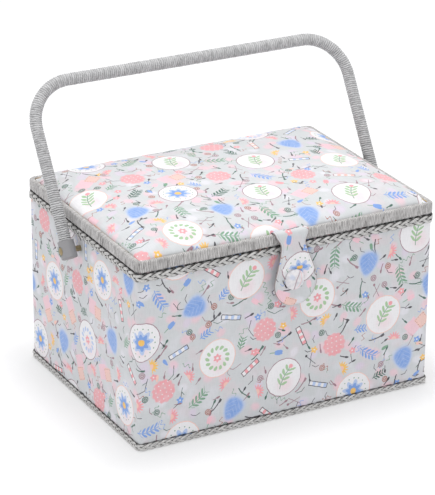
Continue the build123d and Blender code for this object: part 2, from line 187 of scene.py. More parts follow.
def rounded_loop(half_x, half_y, radius, count):
    """Even points round an upright box as (x, y, normal x, normal y), and their runs."""
    arc = pi * radius / 2
    flats = (half_x - radius, half_y - radius)
    total = 4 * (sum(flats) + arc)
    run = [total * k / count for k in range(count + 1)]
    points = []
    for left in run[:-1]:
        side = 0
        while left > 2 * flats[side % 2] + arc:
            left -= 2 * flats[side % 2] + arc
            side += 1
        along, across = flats[side % 2], flats[1 - side % 2]
        a = pi / 2 * (side - 1)
        slide = min(left, 2 * along) - along
        cx = across * cos(a) - slide * sin(a)
        cy = across * sin(a) + slide * cos(a)
        a += max(left - 2 * along, 0) / radius
        nx, ny = cos(a), sin(a)
        points.append((cx + radius * nx, cy + radius * ny, nx, ny))
    return points, run


# Shader helpers


def colour(r, g, b):
    """Colour as seen, 0 to 255 a channel, as linear RGBA."""

    def linear(c):
        c /= 255
        return c / 12.92 if c <= 0.04045 else ((c + 0.055) / 1.055) ** 2.4

    return (linear(r), linear(g), linear(b), 1.0)


class Field:
    """A value that varies over a surface: an output of one shader tree."""

    def __init__(self, tree, socket):
        self.tree = tree
        self.socket = socket

    def __add__(self, other):
        return number("ADD", self, other)

    def __sub__(self, other):
        return number("SUBTRACT", self, other)

    def __mul__(self, other):
        return number("MULTIPLY", self, other)

    def __truediv__(self, other):
        return number("DIVIDE", self, other)

    def __gt__(self, other):
        return number("GREATER_THAN", self, other)

    def __lt__(self, other):
        return number("LESS_THAN", self, other)

    def __abs__(self):
        return number("ABSOLUTE", self)


class Tree:
    """One shader tree or node group."""

    def __init__(self, tree):
        self.tree = tree

    def node(self, kind, values, **settings):
        """New node; values are fed to its inputs by name or number."""
        made = self.tree.nodes.new(kind)
        for key, value in settings.items():
            setattr(made, key, value)
        self.feed(made, values)
        return made

    def feed(self, made, values):
        for key, value in values.items():
            if isinstance(value, Field):
                self.tree.links.new(value.socket, made.inputs[key])
            else:
                made.inputs[key].default_value = value

    def field(self, kind, values, output=0, **settings):
        return Field(self, self.node(kind, values, **settings).outputs[output])


def number(operation, a, b=0.0):
    return a.tree.field("ShaderNodeMath", {0: a, 1: b}, operation=operation)


def most(a, b):
    return number("MAXIMUM", a, b)


def sine(a):
    return number("SINE", a)


def cosine(a):
    return number("COSINE", a)


def fract(a):
    return number("FRACT", a)


def length(x, y):
    return number("SQRT", x * x + y * y)


def step(value, low, high, out_low=0.0, out_high=1.0):
    """Smooth step of a value between two levels."""
    limits = {"From Min": low, "From Max": high, "To Min": out_low, "To Max": out_high}
    return value.tree.field("ShaderNodeMapRange", {"Value": value, **limits},
                            interpolation_type="SMOOTHSTEP")


def inside(distance, edge, soft=0.3):
    """1 where distance is under edge, softened over a fraction of a millimetre."""
    return step(distance, edge - soft, edge, 1.0, 0.0)


def mix(factor, a, b):
    return factor.tree.field("ShaderNodeMix", {0: factor, 6: a, 7: b}, 2, data_type="RGBA")


def xyz(x, y):
    return x.tree.field("ShaderNodeCombineXYZ", {0: x, 1: y})


def split(a):
    parts = a.tree.node("ShaderNodeSeparateXYZ", {0: a})
    return [Field(a.tree, output) for output in parts.outputs]


def vector(operation, a, b=(0, 0, 0)):
    return a.tree.field("ShaderNodeVectorMath", {0: a, 1: b}, operation=operation)


def scaled(a, scale):
    return a.tree.field("ShaderNodeVectorMath", {0: a, "Scale": scale}, operation="SCALE")


def clouds(a, scale, detail=2.0, output=0):
    values = {"Vector": a, "Scale": scale, "Detail": detail}
    return a.tree.field("ShaderNodeTexNoise", values, output)


# Print on the cloth

# Its colours, as seen in plain light
GROUND = colour(198, 201, 203)
WHITE = colour(228, 227, 229)
CORAL = colour(230, 156, 162)
PEACH = colour(232, 190, 178)
ROSE = colour(232, 190, 200)
LILAC = colour(214, 198, 218)
MIST = colour(222, 220, 228)
BLUE = colour(120, 156, 216)
PALE_BLUE = colour(176, 194, 226)
GREEN = colour(116, 156, 130)
LEAF = colour(160, 192, 152)
DEEP_GREEN = colour(58, 98, 84)
MUSTARD = colour(236, 188, 98)
PLUM = colour(150, 116, 126)
BROWN = colour(160, 100, 86)
INK = colour(62, 60, 67)

# Its sizes in millimetres: the repeat, the medallions, and each lattice of larger motifs as
# (pitch, shift in x, shift in y, room that a motif takes)
REPEAT = 84.0
OVAL = 20.5
SLANT = 0.42
LARGE_MOTIFS = (
    (REPEAT, 0.0, 0.0, OVAL),
    (REPEAT, 0.5, 0.5, 13.5),
    (REPEAT, 0.5, 0.0, 13.0),
    (REPEAT, 0.0, 0.5, 13.0),
    (REPEAT / 2, 0.0, 0.0, 7.5),
)


def lattice(place_mm, cell, shift, jitter, turn, seed):
    """Local coordinates, in mm, about the motif of the cell that a point is in.

    With them come two random numbers of the cell and its index.
    """
    moved = vector("ADD", place_mm, (shift[0] * cell, shift[1] * cell, 0))
    index = vector("FLOOR", scaled(moved, 1 / cell))
    r1, r2, r3 = split(index.tree.field(
        "ShaderNodeTexWhiteNoise", {"Vector": index, "W": seed}, "Color", noise_dimensions="4D"
    ))
    x, y, _ = split(vector("SUBTRACT", moved, scaled(index, cell)))
    x = x - cell / 2 - (r1 - 0.5) * (2 * jitter)
    y = y - cell / 2 - (r2 - 0.5) * (2 * jitter)
    angle = (r3 - 0.5) * (2 * turn)
    c, s = cosine(angle), sine(angle)
    pick = fract((r1 + r2) * 7.31)
    other = fract((r2 + r3) * 5.77)
    return x * c + y * s, y * c - x * s, pick, other, index


def between(pick, low, high):
    """1 where a random number falls between two levels."""
    return (pick > low) * (pick < high)


def choose(pick, *tones):
    """One of several colours, by a random number."""
    out = tones[0]
    for k, tone in enumerate(tones[1:], 1):
        out = mix(pick > k / len(tones), out, tone)
    return out


def stroke(u, v, half, width, bow=0.0):
    """A pen line along u, straight or bowed."""
    return inside(abs(v - u * u * bow), width) * inside(abs(u), half)


def petals(x, y, count, depth):
    """Distance from the centre, scaled so that one level of it is a flower outline."""
    angle = number("ARCTAN2", y, x)
    return length(x, y) / (cosine(angle * count) * depth + 1.0)


def sprig(x, y, tall, lean, pitch=5.2):
    """A stem with pairs of leaves: masks of stem and leaves."""
    bend = x - y * y * lean
    side = abs(bend)
    stem = inside(side, 0.6) * inside(abs(y), tall)
    slide = y - side * 0.75
    local = fract(slide / pitch) - 0.5
    along = (side - 0.65 * pitch) / (0.6 * pitch)
    leaf = length(along, local * 2.9)
    return stem, inside(leaf, 1.0, 0.12) * inside(abs(slide), tall - 1)


def clear(index, cell, shift, radius):
    """1 where the middle of a small cell lies clear of all the larger motifs."""
    cx, cy, _ = split(scaled(vector("ADD", index, (0.5 - shift[0], 0.5 - shift[1], 0)), cell))
    keep = None
    for pitch, dx, dy, room in LARGE_MOTIFS:
        x = fract(cx * (1 / pitch) + dx) - 0.5
        y = fract(cy * (1 / pitch) + dy) - 0.5
        far = length(x, y) * pitch > room + radius
        keep = far if keep is None else keep * far
    return keep


def blots(drawn, paint):
    """Soft blots of dye under the drawn motifs."""
    pink, pale, _ = split(clouds(drawn, 0.045, 2, output=1))
    paint(step(pink, 0.5, 0.68, 0.0, 0.16), ROSE)
    paint(step(pale, 0.5, 0.7, 0.0, 0.3), MIST)
    for seed, cell, shift, size in ((3.0, 31.0, (0.3, 0.1), 9.5), (4.0, 21.0, (0.6, 0.3), 7.5)):
        u, v, pick, other, _ = lattice(drawn, cell, shift, cell * 0.2, 1.5, seed)
        blot = step(length(u, v * 1.3), 0.35 * size, size, 0.62, 0.0)
        paint(blot * between(pick, 0.3, 1.0), choose(other, LILAC, ROSE, MIST, ROSE))


def pen_marks(drawn, paint):
    """Fine pen lines, some with a knob at one end, forks and curls."""
    for seed, cell, shift, half, width in (
        (5.0, 13.5, (0.0, 0.0), 4.2, 0.5),
        (8.0, 21.0, (0.4, 0.7), 9.0, 0.75),
        (9.0, 15.5, (0.6, 0.2), 5.2, 0.65),
    ):
        u, v, pick, other, index = lattice(drawn, cell, shift, cell * 0.1, 1.57, seed)
        keep = clear(index, cell, shift, 0.3 * half)
        knob = inside(length((u - (half - 2.2)) * 0.45, v), 1.2)
        line = most(stroke(u, v, half, width, 0.02), knob)
        within = inside(abs(u), half)
        fork = inside(abs(v - abs(u) * 0.45), 0.5) * within
        curl = inside(abs(v - sine(u * 1.1) * 1.5), 0.6) * within
        tone = choose(other, INK, DEEP_GREEN, INK, PLUM)
        paint(line * between(pick, 0.0, 0.42) * keep, tone)
        paint(fork * between(pick, 0.42, 0.60) * keep, tone)
        paint(curl * between(pick, 0.60, 0.80) * keep, choose(other, BLUE, GREEN, BROWN))


def small_motifs(drawn, paint):
    """Ringed discs, little blooms and single leaves."""
    for seed, cell, shift in ((6.0, 16.0, (0.25, 0.5)), (7.0, 23.0, (0.1, 0.35))):
        u, v, pick, other, index = lattice(drawn, cell, shift, cell * 0.14, 1.57, seed)
        keep = clear(index, cell, shift, 3.2)
        r = length(u, v)
        is_disc = between(pick, 0.0, 0.34) * keep
        paint(inside(r, 3.5) * is_disc * 0.85, choose(other, BROWN, DEEP_GREEN, PLUM))
        paint(inside(abs(r - 2.1), 0.45) * is_disc * 0.5, WHITE)
        paint(inside(r, 0.7) * is_disc, WHITE)
        is_bloom = between(pick, 0.34, 0.62) * keep
        bloom = inside(petals(u, v, 5, 0.24), 3.3)
        paint(bloom * is_bloom, choose(other, CORAL, BLUE, MUSTARD))
        paint(inside(r, 1.0) * is_bloom, WHITE)
        is_leaf = between(pick, 0.62, 0.8) * keep
        leaf = inside(length(u * 0.4, v * (u * 0.08 + 1.0)), 1.8)
        paint(leaf * is_leaf, choose(other, GREEN, PEACH, BLUE))


def quarter_motifs(drawn, paint):
    """Motifs between the medallions: twigs, tulips, half suns and crossed lines."""
    u, v, pick, other, _ = lattice(drawn, REPEAT / 2, (0.0, 0.0), 1.5, 1.57, 12.0)
    twig = most(*sprig(u, v, 6.6, 0.01, 3.5))
    paint(twig * between(pick, 0.0, 0.26), choose(other, DEEP_GREEN, BLUE, GREEN))
    is_tulip = between(pick, 0.26, 0.5)
    cup = inside(length(u * 1.15, (v - 2.5) * 0.8) - abs(sine(u * 1.1)) * 0.9, 3.1)
    paint(stroke(v + 4.0, u, 3.6, 0.5, 0.02) * is_tulip, GREEN)
    paint(cup * is_tulip, choose(other, BLUE, CORAL, ROSE))
    is_sun = between(pick, 0.5, 0.78) * step(v, -2.3, -2.0)
    rays = inside(petals(u, v + 2.0, 14, 0.24), 6.6)
    paint(rays * is_sun, choose(other, MUSTARD, CORAL))
    paint(inside(length(u, v + 2.0), 3.0) * is_sun, PEACH)
    crossed = most(stroke(u, v + u * 0.5, 7.0, 0.5), stroke(u, v - u * 0.5, 7.0, 0.5))
    crossed = most(crossed, inside(length(u + 6.4, v + 3.2), 1.5))
    paint(crossed * between(pick, 0.78, 1.0), choose(other, INK, PLUM))


def half_motifs(drawn, paint):
    """Longer motifs half way between the medallions: ribbons, branches and patches."""
    for seed, shift in ((14.0, (0.5, 0.0)), (15.0, (0.0, 0.5))):
        u, v, pick, other, _ = lattice(drawn, REPEAT, shift, 2.0, 1.3, seed)
        is_ribbon = between(pick, 0.0, 0.3)
        edge = most(abs(u) - 11.0, abs(v) - 2.9)
        paint(inside(edge, 0.0) * is_ribbon, choose(other, INK, PLUM, INK))
        body = inside(edge, -0.75) * is_ribbon
        paint(body, WHITE)
        paint(body * step(sine(u * 0.95), -0.15, 0.15), choose(other, CORAL, PEACH, PALE_BLUE))
        branch = most(*sprig(v, u, 11.5, 0.01, 4.4))
        paint(branch * between(pick, 0.3, 0.62), choose(other, DEEP_GREEN, BLUE, GREEN))
        # Two pastel patches that overlap, one with stitches round it
        is_patch = between(pick, 0.62, 1.0)
        for cx, cy, half, tone in ((-5.6, 1.5, 8.0, ROSE), (5.6, -1.2, 7.0, PEACH)):
            side = most(abs(u - cx), abs(v - cy))
            paint(inside(side, half, 0.6) * is_patch * 0.85, tone)
        stitches = inside(abs(side - 5.8), 0.4) * step(sine((u + v) * 2.2), -0.2, 0.2)
        paint(stitches * is_patch, BROWN)


def big_motifs(drawn, paint):
    """Dotted coral discs and veined blue drops."""
    u, v, pick, _, _ = lattice(drawn, REPEAT, (0.5, 0.5), 3.0, 0.9, 21.0)
    watery = step(clouds(drawn, 0.22, 2), 0.3, 0.7, 0.72, 1.0)
    is_disc = between(pick, 0.0, 0.52)
    scallop = petals(u, v, 12, 0.045)
    dots = length(fract((u + 20) * 0.2) - 0.5, fract((v + 20) * 0.2) - 0.5)
    paint(inside(scallop, 12.9, 1.8) * is_disc * watery, CORAL)
    paint(inside(dots, 0.17, 0.07) * inside(scallop, 11.5) * is_disc * 0.85, WHITE)
    is_drop = between(pick, 0.52, 1.0)
    drop = length(u / (v * 0.03 + 1.0), v * 0.8)
    veins = abs(sine((v + abs(u)) * 0.62))
    paint(inside(drop, 13.5, 6.0) * is_drop, PALE_BLUE)
    paint(inside(drop, 10.8, 3.5) * is_drop * watery, BLUE)
    paint(inside(veins, 0.26, 0.2) * inside(drop, 8.5) * is_drop * 0.8, PALE_BLUE)


def medallions(drawn, paint):
    """White ovals with a thin line round: a sprig, a ring of leaves or a round bloom."""
    u, v, pick, other, _ = lattice(drawn, REPEAT, (0.0, 0.0), 2.2, 0.3, 27.0)
    r = length(u, v)
    angle = number("ARCTAN2", v, u)
    oval = length(u * 1.06, v)
    paint(inside(oval, OVAL), choose(other, PEACH, PLUM))
    paint(inside(oval, OVAL - 0.8), WHITE)
    paint(step(length(u - 5.0, v + 6.0), 3.0, 13.0, 0.35, 0.0), ROSE)
    is_sprig = between(pick, 0.0, 0.36)
    stem, leaves = sprig(u, v, 12.5, 0.012)
    paint(leaves * is_sprig, LEAF)
    paint(stem * is_sprig, GREEN)
    paint(inside(length(u - 1.6, v - 13.0), 2.4) * is_sprig, CORAL)
    is_ring = between(pick, 0.36, 0.68)
    leaf_count, bead_count = 13, 16
    local = fract(angle * (leaf_count / (2 * pi))) - 0.5
    leaf = length((r - 10.8 + local * 2.4) * 0.42, local * 2.6)
    paint(inside(leaf, 1.0, 0.12) * is_ring, choose(other, LEAF, PALE_BLUE))
    paint(inside(petals(u, v, 6, 0.2), 4.0) * is_ring, CORAL)
    paint(inside(r, 1.4) * is_ring, WHITE)
    is_bloom = between(pick, 0.68, 1.0)
    bloom = petals(u, v, 8, 0.2)
    paint(inside(bloom, 10.6) * is_bloom, PALE_BLUE)
    paint(inside(bloom, 7.6) * is_bloom, BLUE)
    paint(inside(r, 3.4) * is_bloom, MUSTARD)
    local = fract(angle * (bead_count / (2 * pi))) - 0.5
    paint(inside(length(local * 5.3, r - 14.2), 0.8) * is_bloom, GREEN)


def print_group():
    """Node group: a scattered print, from a place on the cloth in metres to a colour."""
    group = bpy.data.node_groups.new("print", "ShaderNodeTree")
    group.interface.new_socket("Place", in_out="INPUT", socket_type="NodeSocketVector")
    group.interface.new_socket("Color", in_out="OUTPUT", socket_type="NodeSocketColor")
    t = Tree(group)
    source = t.field("NodeGroupInput", {})
    # The repeat hangs at a slant, as printed cloth does when cut along its thread
    px, py, _ = split(scaled(source, 1000.0))
    c, s = cos(SLANT), sin(SLANT)
    flat = xyz(px * c - py * s, px * s + py * c)
    wobble = vector("SUBTRACT", clouds(source, 300, 1, output=1), (0.5, 0.5, 0.5))
    drawn = vector("ADD", flat, vector("MULTIPLY", wobble, (1.1, 1.1, 0.0)))
    layers = [GROUND]

    def paint(mask, tone):
        layers.append(mix(mask, layers[-1], tone))

    for draw in (blots, pen_marks, small_motifs, quarter_motifs, half_motifs, big_motifs,
                 medallions):
        draw(drawn, paint)
    # The dye lies a little uneven over the thread
    paint(step(clouds(source, 55, 3), 0.3, 0.7) * 0.06, WHITE)
    t.node("NodeGroupOutput", {0: layers[-1]})
    return group


# Materials

PRINT = print_group()
THREAD = 0.45 * MM


def material(name, base, roughness, **more):
    """New material; returns it with its tree and its Principled shader."""
    made = bpy.data.materials.new(name)
    made.use_nodes = True
    t = Tree(made.node_tree)
    shader = made.node_tree.nodes["Principled BSDF"]
    t.feed(shader, {"Roughness": roughness, "Base Color": base})
    t.feed(shader, {key.replace("_", " ").title(): value for key, value in more.items()})
    return made, t, shader


def bump(t, shader, height, distance, strength):
    values = {"Strength": strength, "Distance": distance, "Height": height}
    t.feed(shader, {"Normal": t.field("ShaderNodeBump", values)})


def weave(place_m, thread):
    """Height of a plain weave in place coordinates of metres."""
    x, y, _ = split(scaled(place_m, pi / thread))
    warp, weft = sine(x), sine(y)
    return (abs(warp) + abs(weft)) * 0.4 + step(warp * weft, -0.2, 0.2) * 0.2


def place_on(t, source):
    """Coordinates of a surface: uv, all of the object's, or two of them that lie in the cloth."""
    if source == "uv":
        return t.field("ShaderNodeTexCoord", {}, "UV")
    whole = t.field("ShaderNodeTexCoord", {}, "Object")
    if source == "object":
        return whole
    parts = dict(zip("xyz", split(whole)))
    return xyz(*(parts[axis] for axis in source))


def seen_directly(t):
    """1 where a ray comes from the camera or off a glossy piece."""
    rays = ("Is Camera Ray", "Is Glossy Ray")
    return most(*(t.field("ShaderNodeLightPath", {}, ray) for ray in rays))


def attribute(t, name):
    return t.field("ShaderNodeAttribute", {}, "Fac", attribute_name=name)


def printed_cloth(name, source, offset, edged=False):
    """Cloth with the print; edged adds painted shade along its turned edge and along the groove
    of its stitches.
    """
    made, t, shader = material(name, GROUND, 0.78, sheen_weight=0.15, sheen_roughness=0.5)
    place_m = vector("ADD", place_on(t, source), offset)
    slub = step(clouds(vector("MULTIPLY", place_m, (1.0, 0.12, 1.0)), 900), 0.35, 0.65)
    slub *= step(clouds(vector("MULTIPLY", place_m, (0.12, 1.0, 1.0)), 900), 0.3, 0.6)
    out = mix(slub * 0.06, t.field("ShaderNodeGroup", {0: place_m}, node_tree=PRINT), INK)
    if edged:
        edge = attribute(t, "edge")
        # Painted shade: a dark band along the turned edge and a faint dark line along the stitch
        # groove
        edge_shade_tone = colour(128, 108, 104)
        out = mix(step(edge, 0.4, 1.2, 0.8, 0.0), out, edge_shade_tone)
        out = mix(inside(abs(edge - 2.3), 0.35) * 0.3, out, edge_shade_tone)
    t.feed(shader, {"Base Color": out})
    bump(t, shader, weave(place_m, THREAD), 0.05 * MM, 0.5)
    return made


def plain_cloth(name, base, second, thread=THREAD):
    made, t, shader = material(name, base, 0.75, sheen_weight=0.15)
    place_m = place_on(t, "uv")
    cloudy = step(clouds(place_m, 40, 3), 0.3, 0.7)
    slub = step(clouds(vector("MULTIPLY", place_m, (1.0, 0.08, 1.0)), 700), 0.4, 0.7)
    t.feed(shader, {"Base Color": mix(cloudy * 0.4 + slub * 0.35, base, second)})
    bump(t, shader, weave(place_m, thread), 0.06 * MM, 0.6)
    return made


def cord_cloth(name, light, mid, dark, hatch, slope, streak=(1.0, 1.0, 1.0)):
    """Wound or plaited cord: a tone for each cord and the painted shade of its grooves come with
    the mesh, twist from the shader.
    """
    light, mid, dark = colour(*light), colour(*mid), colour(*dark)
    made, t, shader = material(name, mid, 0.7, sheen_weight=0.25, sheen_roughness=0.4)
    place_m = place_on(t, "uv")
    tone = mix(step(attribute(t, "shade"), 0.0, 1.0), mid, light)
    streaks = step(clouds(vector("MULTIPLY", place_m, streak), 620), 0.46, 0.66)
    tone = mix(streaks * 0.4, tone, dark)
    x, y, _ = split(scaled(place_m, 2 * pi / hatch))
    twist = sine(x + y * slope)
    tone = mix(step(twist, -0.2, 1.0, 0.0, 0.22), tone, dark)
    fuzz = step(clouds(place_m, 1600), 0.35, 0.7)
    tone = mix(fuzz * 0.25, tone, dark)
    # Painted shade in grooves, gaps and under crossings, carried by the mesh, with some random
    # darker flecks
    tone = mix(step(attribute(t, "depth"), 0.25, 1.0), tone, dark)
    t.feed(shader, {"Base Color": tone})
    bump(t, shader, twist + fuzz * 0.5, 0.08 * MM, 0.6)
    return made


def solid_material(name, base, roughness, grain, spread, metallic):
    """Hard material with fine grain, cloudy tone and slight wear."""
    base = colour(*base)
    made, t, shader = material(name, base, roughness, metallic=metallic)
    place_m = place_on(t, "object")
    darker = tuple(c * (1 - spread * 2) for c in base[:3]) + (1.0,)
    cloudy = step(clouds(place_m, 60, 4), 0.3, 0.75)
    fine = clouds(place_m, grain, 3)
    worn = step(fine, 0.2, 0.8, roughness * 0.85, min(1.0, roughness * 1.2))
    t.feed(shader, {"Base Color": mix(cloudy * 0.6, base, darker), "Roughness": worn})
    bump(t, shader, fine, 0.02 * MM, 0.5)
    return made


def wood_material(name, base, dark):
    base, dark = colour(*base), colour(*dark)
    made, t, shader = material(name, base, 0.6)
    place_m = place_on(t, "object")
    rings = clouds(vector("MULTIPLY", place_m, (0.06, 0.06, 1.0)), 420, 4)
    fibre = clouds(vector("MULTIPLY", place_m, (0.03, 0.03, 1.0)), 1800)
    tone = mix(step(rings, 0.35, 0.7), base, dark)
    t.feed(shader, {"Base Color": mix(step(fibre, 0.4, 0.7) * 0.3, tone, dark)})
    bump(t, shader, fibre, 0.05 * MM, 0.5)
    return made


def button_cloth():
    """Pale cloth with a little of the print's colours on it."""
    made, t, shader = material("button_cover", WHITE, 0.75, sheen_weight=0.15)
    place_m = place_on(t, "xz")
    x, z, _ = split(scaled(place_m, 1000.0))
    z = z - (BUTTON_LOW.z + BUTTON_HIGH.z) / 2 / MM
    c, s = cos(0.35), sin(0.35)
    u, v = x * c - z * s, x * s + z * c
    cloudy = step(clouds(xyz(u, v), 0.25), 0.35, 0.65)
    out = mix(cloudy, colour(222, 219, 221), colour(202, 201, 206))
    out = mix(inside(abs(u + 1.2 - v * v * 0.03), 0.7, 0.35) * 0.75, out, PLUM)
    out = mix(inside(abs(u - 4.4 + v * v * 0.025), 0.55, 0.35) * 0.6, out, CORAL)
    out = mix(inside(length(u + 6.0, v - 2.5), 3.4, 1.8) * 0.35, out, PALE_BLUE)
    t.feed(shader, {"Base Color": out})
    bump(t, shader, weave(place_m, THREAD), 0.05 * MM, 0.5)
    return made


WALL_CLOTH = printed_cloth("wall_cloth", "uv", (0.013, 0.019, 0.0))
LID_CLOTH = printed_cloth("lid_cloth", "xy", (0.301, 0.232, 0.0))
TAB_CLOTH = printed_cloth("tab_cloth", "uv", (0.528, 0.122, 0.0), edged=True)
POUF_CLOTH = printed_cloth("pouf_cloth", "uv", (0.1, 0.02, 0.0))
POCKET_CLOTH = printed_cloth("pocket_cloth", "uv", (0.24, 0.11, 0.0))
BUTTON_CLOTH = button_cloth()
LINING_CLOTH = plain_cloth("lining_cloth", colour(212, 202, 197), colour(226, 217, 212))
BASE_CLOTH = plain_cloth("base_cloth", colour(96, 98, 102), colour(120, 122, 126), 1.2 * MM)
BRAID_CORD = cord_cloth(
    "braid_cord", (234, 233, 231), (206, 205, 203), (50, 47, 45), 0.9 * MM, 0.8, (0.3, 1.0, 1.0)
)
RIM_CORD = cord_cloth(
    "rim_cord", (218, 216, 215), (194, 192, 191), (92, 89, 87), 0.8 * MM, 0.5, (1.0, 0.2, 1.0)
)
HANDLE_CORD = cord_cloth(
    "handle_cord", (212, 212, 213), (196, 196, 197), (108, 108, 109), 0.85 * MM, 0.7,
    (1.0, 0.25, 1.0),
)
# Dark seam yarn: partly dark stitches, partly painted shade over the braids
SEAM_YARN_AND_SHADE = cord_cloth("seam_yarn", (70, 64, 60), (56, 50, 47), (26, 23, 22), 0.7 * MM, 0.6)

# Finishes of the rigid pieces, by slot: name, colour, roughness, grain, spread of tone, metal
FINISHES = {
    "board": wood_material("grey_board", (176, 168, 152), (150, 142, 126)),
    "rail_wood": wood_material("pine_rail", (222, 196, 152), (192, 158, 110)),
}
for slot_key, finish in {
    "core_plastic": ("core_plastic", (190, 190, 190), 0.5, 900, 0.12, 0.0),
    "ferrule_plastic": ("ferrule_plastic", (142, 141, 143), 0.42, 1400, 0.03, 0.0),
    "tray_plastic": ("tray_plastic", (226, 229, 232), 0.32, 1200, 0.02, 0.0),
    "rivet_brass": ("rivet_brass", (164, 148, 116), 0.36, 1500, 0.12, 1.0),
    "hinge_brass": ("hinge_brass", (190, 168, 116), 0.35, 1500, 0.12, 1.0),
    "steel": ("bright_steel", (186, 188, 190), 0.3, 1800, 0.12, 1.0),
}.items():
    FINISHES[slot_key] = solid_material(*finish)


# Base


def wall_cloth():
    """Printed cloth round the walls, over thin wadding, turned in over the top edge."""
    loop, run = rounded_loop(BASE_HIGH.x, BASE_HIGH.y, BOX_CORNER, 560)
    total = run[-1]
    # The cloth's ends meet in the middle of the back
    seam = next(k for k, p in enumerate(loop) if p[3] > 0.99 and p[0] < 0)
    run = [s - total for s in run[seam:-1]] + run[:seam + 1]
    loop = loop[seam:] + loop[:seam]
    bottom, top = BASE_LOW.z, BASE_HIGH.z
    fold_in = BASE_HIGH.x - (LINING_HIGH.x - LINING_THICK)
    levels = [bottom + (top - 1.2 * MM - bottom) * k / 56 for k in range(57)]
    turned_in = ((0.25, 0.5), (1.0, 0.08), (2.5, 0.0), (4.2, 0.0), (5.4, 0.1), (20, 1.4))
    hinge_x, hinge_half = LEAF_HIGH.x - 15 * MM, 16.5 * MM
    rows = []
    for x, y, nx, ny in loop:
        row = []
        for z in levels:
            free = smooth(FOOT_HIGH.z, FOOT_HIGH.z + 9 * MM, z)
            free *= 1 - smooth(BRAID_LOW.z - 9 * MM, BRAID_LOW.z, z)
            swell = 0.35 * MM * lump(x * 16, y * 16, z * 22)
            ripple = 0.16 * MM * lump(x * 60, y * 60, z * 24 + 7)
            out = free * (swell + ripple + 0.12 * MM)
            row.append((x + nx * out, y + ny * out, z))
        by_hinge = ny > 0.5 and abs(abs(x) - hinge_x) < hinge_half
        drop = 0.95 * MM if by_hinge else 0.0
        for inset, down in turned_in:
            d = min(inset * MM, fold_in)
            row.append((x - nx * d, y - ny * d, top - down * MM - drop))
        rows.append(row)
    heights = levels + [top + k * MM for k in (0, 1, 2.5, 4, 5, 6)]
    obj = make("wall_cloth", grid(rows, run, heights, wrap_i=True), WALL_CLOTH)
    thicken(obj, 0.6 * MM)
    weld(obj)
    return place(obj, "base", "print_fabric", "outer_fabric")


def lining():
    """Cloth lining: floor and inner walls, slightly slack."""
    half_x, half_y = LINING_HIGH.x - LINING_THICK, LINING_HIGH.y - LINING_THICK
    loop, run = rounded_loop(half_x, half_y, 1.5 * MM, 360)
    floor_z, top = LINING_LOW.z + LINING_THICK, LINING_HIGH.z
    levels = [top - (top - floor_z) * k / 30 for k in range(31)]
    rows = []
    for x, y, nx, ny in loop:
        row = []
        for z in levels:
            slack = 0.25 * MM * lump(x * 25, y * 25, z * 12)
            slack *= smooth(floor_z, floor_z + 12 * MM, z) * (1 - smooth(top - 8 * MM, top, z))
            row.append((x - nx * slack, y - ny * slack, z))
        for share in (0.9, 0.7, 0.5, 0.25, 0.04):
            sag = 0.15 * MM * lump(x * share * 30, y * share * 30, 3)
            row.append((x * share, y * share, floor_z + sag))
        rows.append(row)
    heights = levels + [floor_z - k * 20 * MM for k in range(1, 6)]
    part = verts, faces, uvs = grid(rows, run, heights, wrap_i=True, flip=True)
    inner = [i * len(heights) + len(heights) - 1 for i in range(len(rows))]
    verts.append((0, 0, floor_z))
    for i, (here, following) in enumerate(zip(inner, inner[1:] + inner[:1])):
        faces.append([here, len(verts) - 1, following])
        uvs.extend([(run[i], 0), (run[i], -0.1), (run[i + 1], 0)])
    obj = make("base_lining_cloth", part, LINING_CLOTH)
    thicken(obj, 0.5 * MM)
    weld(obj)
    return place(obj, "base", "lining_fabric", "base_lining")


def plaited(name, low, high, periods, strand_width, dark_share, gap_shade):
    """Three flat strands plaited round the box, each of three yarns, over a dark strip of painted
    shade.
    """
    sides = 24
    loop, run = rounded_loop(BASE_HIGH.x, BASE_HIGH.y, BOX_CORNER, periods * sides)
    total = run[-1]
    strand_thick, weave_depth, off_wall = 1.3 * MM, 0.45 * MM, 0.98 * MM
    swing = (high - low - strand_width) / 2
    around = [j * 0.4 * MM for j in range(sides + 1)]
    whole, shade, depth = ([], [], []), [], []
    for strand in range(3):
        rows = []
        for (x, y, nx, ny), s in zip(loop, run):
            phase = 2 * pi * (periods * s / total + strand / 3)
            lean = atan(swing * cos(phase) * 2 * pi * periods / total)
            wobble = 0.12 * MM * lump(s * 90, strand * 9.1, 2)
            middle = (low + high) / 2 + swing * sin(phase) + wobble
            lift = weave_depth * sin(2 * phase)
            low_share = 0.5 - 0.5 * sin(2 * phase)
            row = []
            for j, a in enumerate(circle(sides)):
                share = cos(a)
                yarn = abs(sin(1.5 * pi * (share + 1)))
                off = off_wall + lift + strand_thick / 2 * sin(a) * (0.66 + 0.34 * yarn)
                z = middle + strand_width / 2 * share * cos(lean)
                along = -strand_width / 2 * share * sin(lean)
                row.append((x + nx * off - ny * along, y + ny * off + nx * along, z))
                # Painted shade where a strand dips under the others, between its yarns and at its
                # edges
                dark = 0.7 * low_share**2 + 0.45 * (1 - yarn) + 0.8 * share**8
                depth.append(min(1.0, dark * dark_share))
                shade.append(0.5 + 0.5 * lump(s * 120, strand * 3.3, j * 0.4))
            rows.append(row)
        extend(whole, grid(rows, run, around, wrap_i=True, wrap_j=True))
    # A dark strip behind the strands stands for the shade in their gaps
    low, high = low + 1.3 * MM, high - 1.3 * MM
    gap_shadow_strip = [(0.05 * MM, low), (0.4 * MM, low), (0.4 * MM, high), (0.05 * MM, high)]
    rows = [[(x + nx * d, y + ny * d, z) for d, z in gap_shadow_strip] for x, y, nx, ny in loop]
    around = [0.0, 0.4 * MM, 6 * MM, 6.4 * MM, 13 * MM]
    extend(whole, grid(rows, run, around, wrap_i=True, wrap_j=True))
    depth.extend([gap_shade] * (4 * len(loop)))
    shade.extend([0.2] * (4 * len(loop)))
    return make(name, whole, BRAID_CORD, {"shade": shade, "depth": depth})


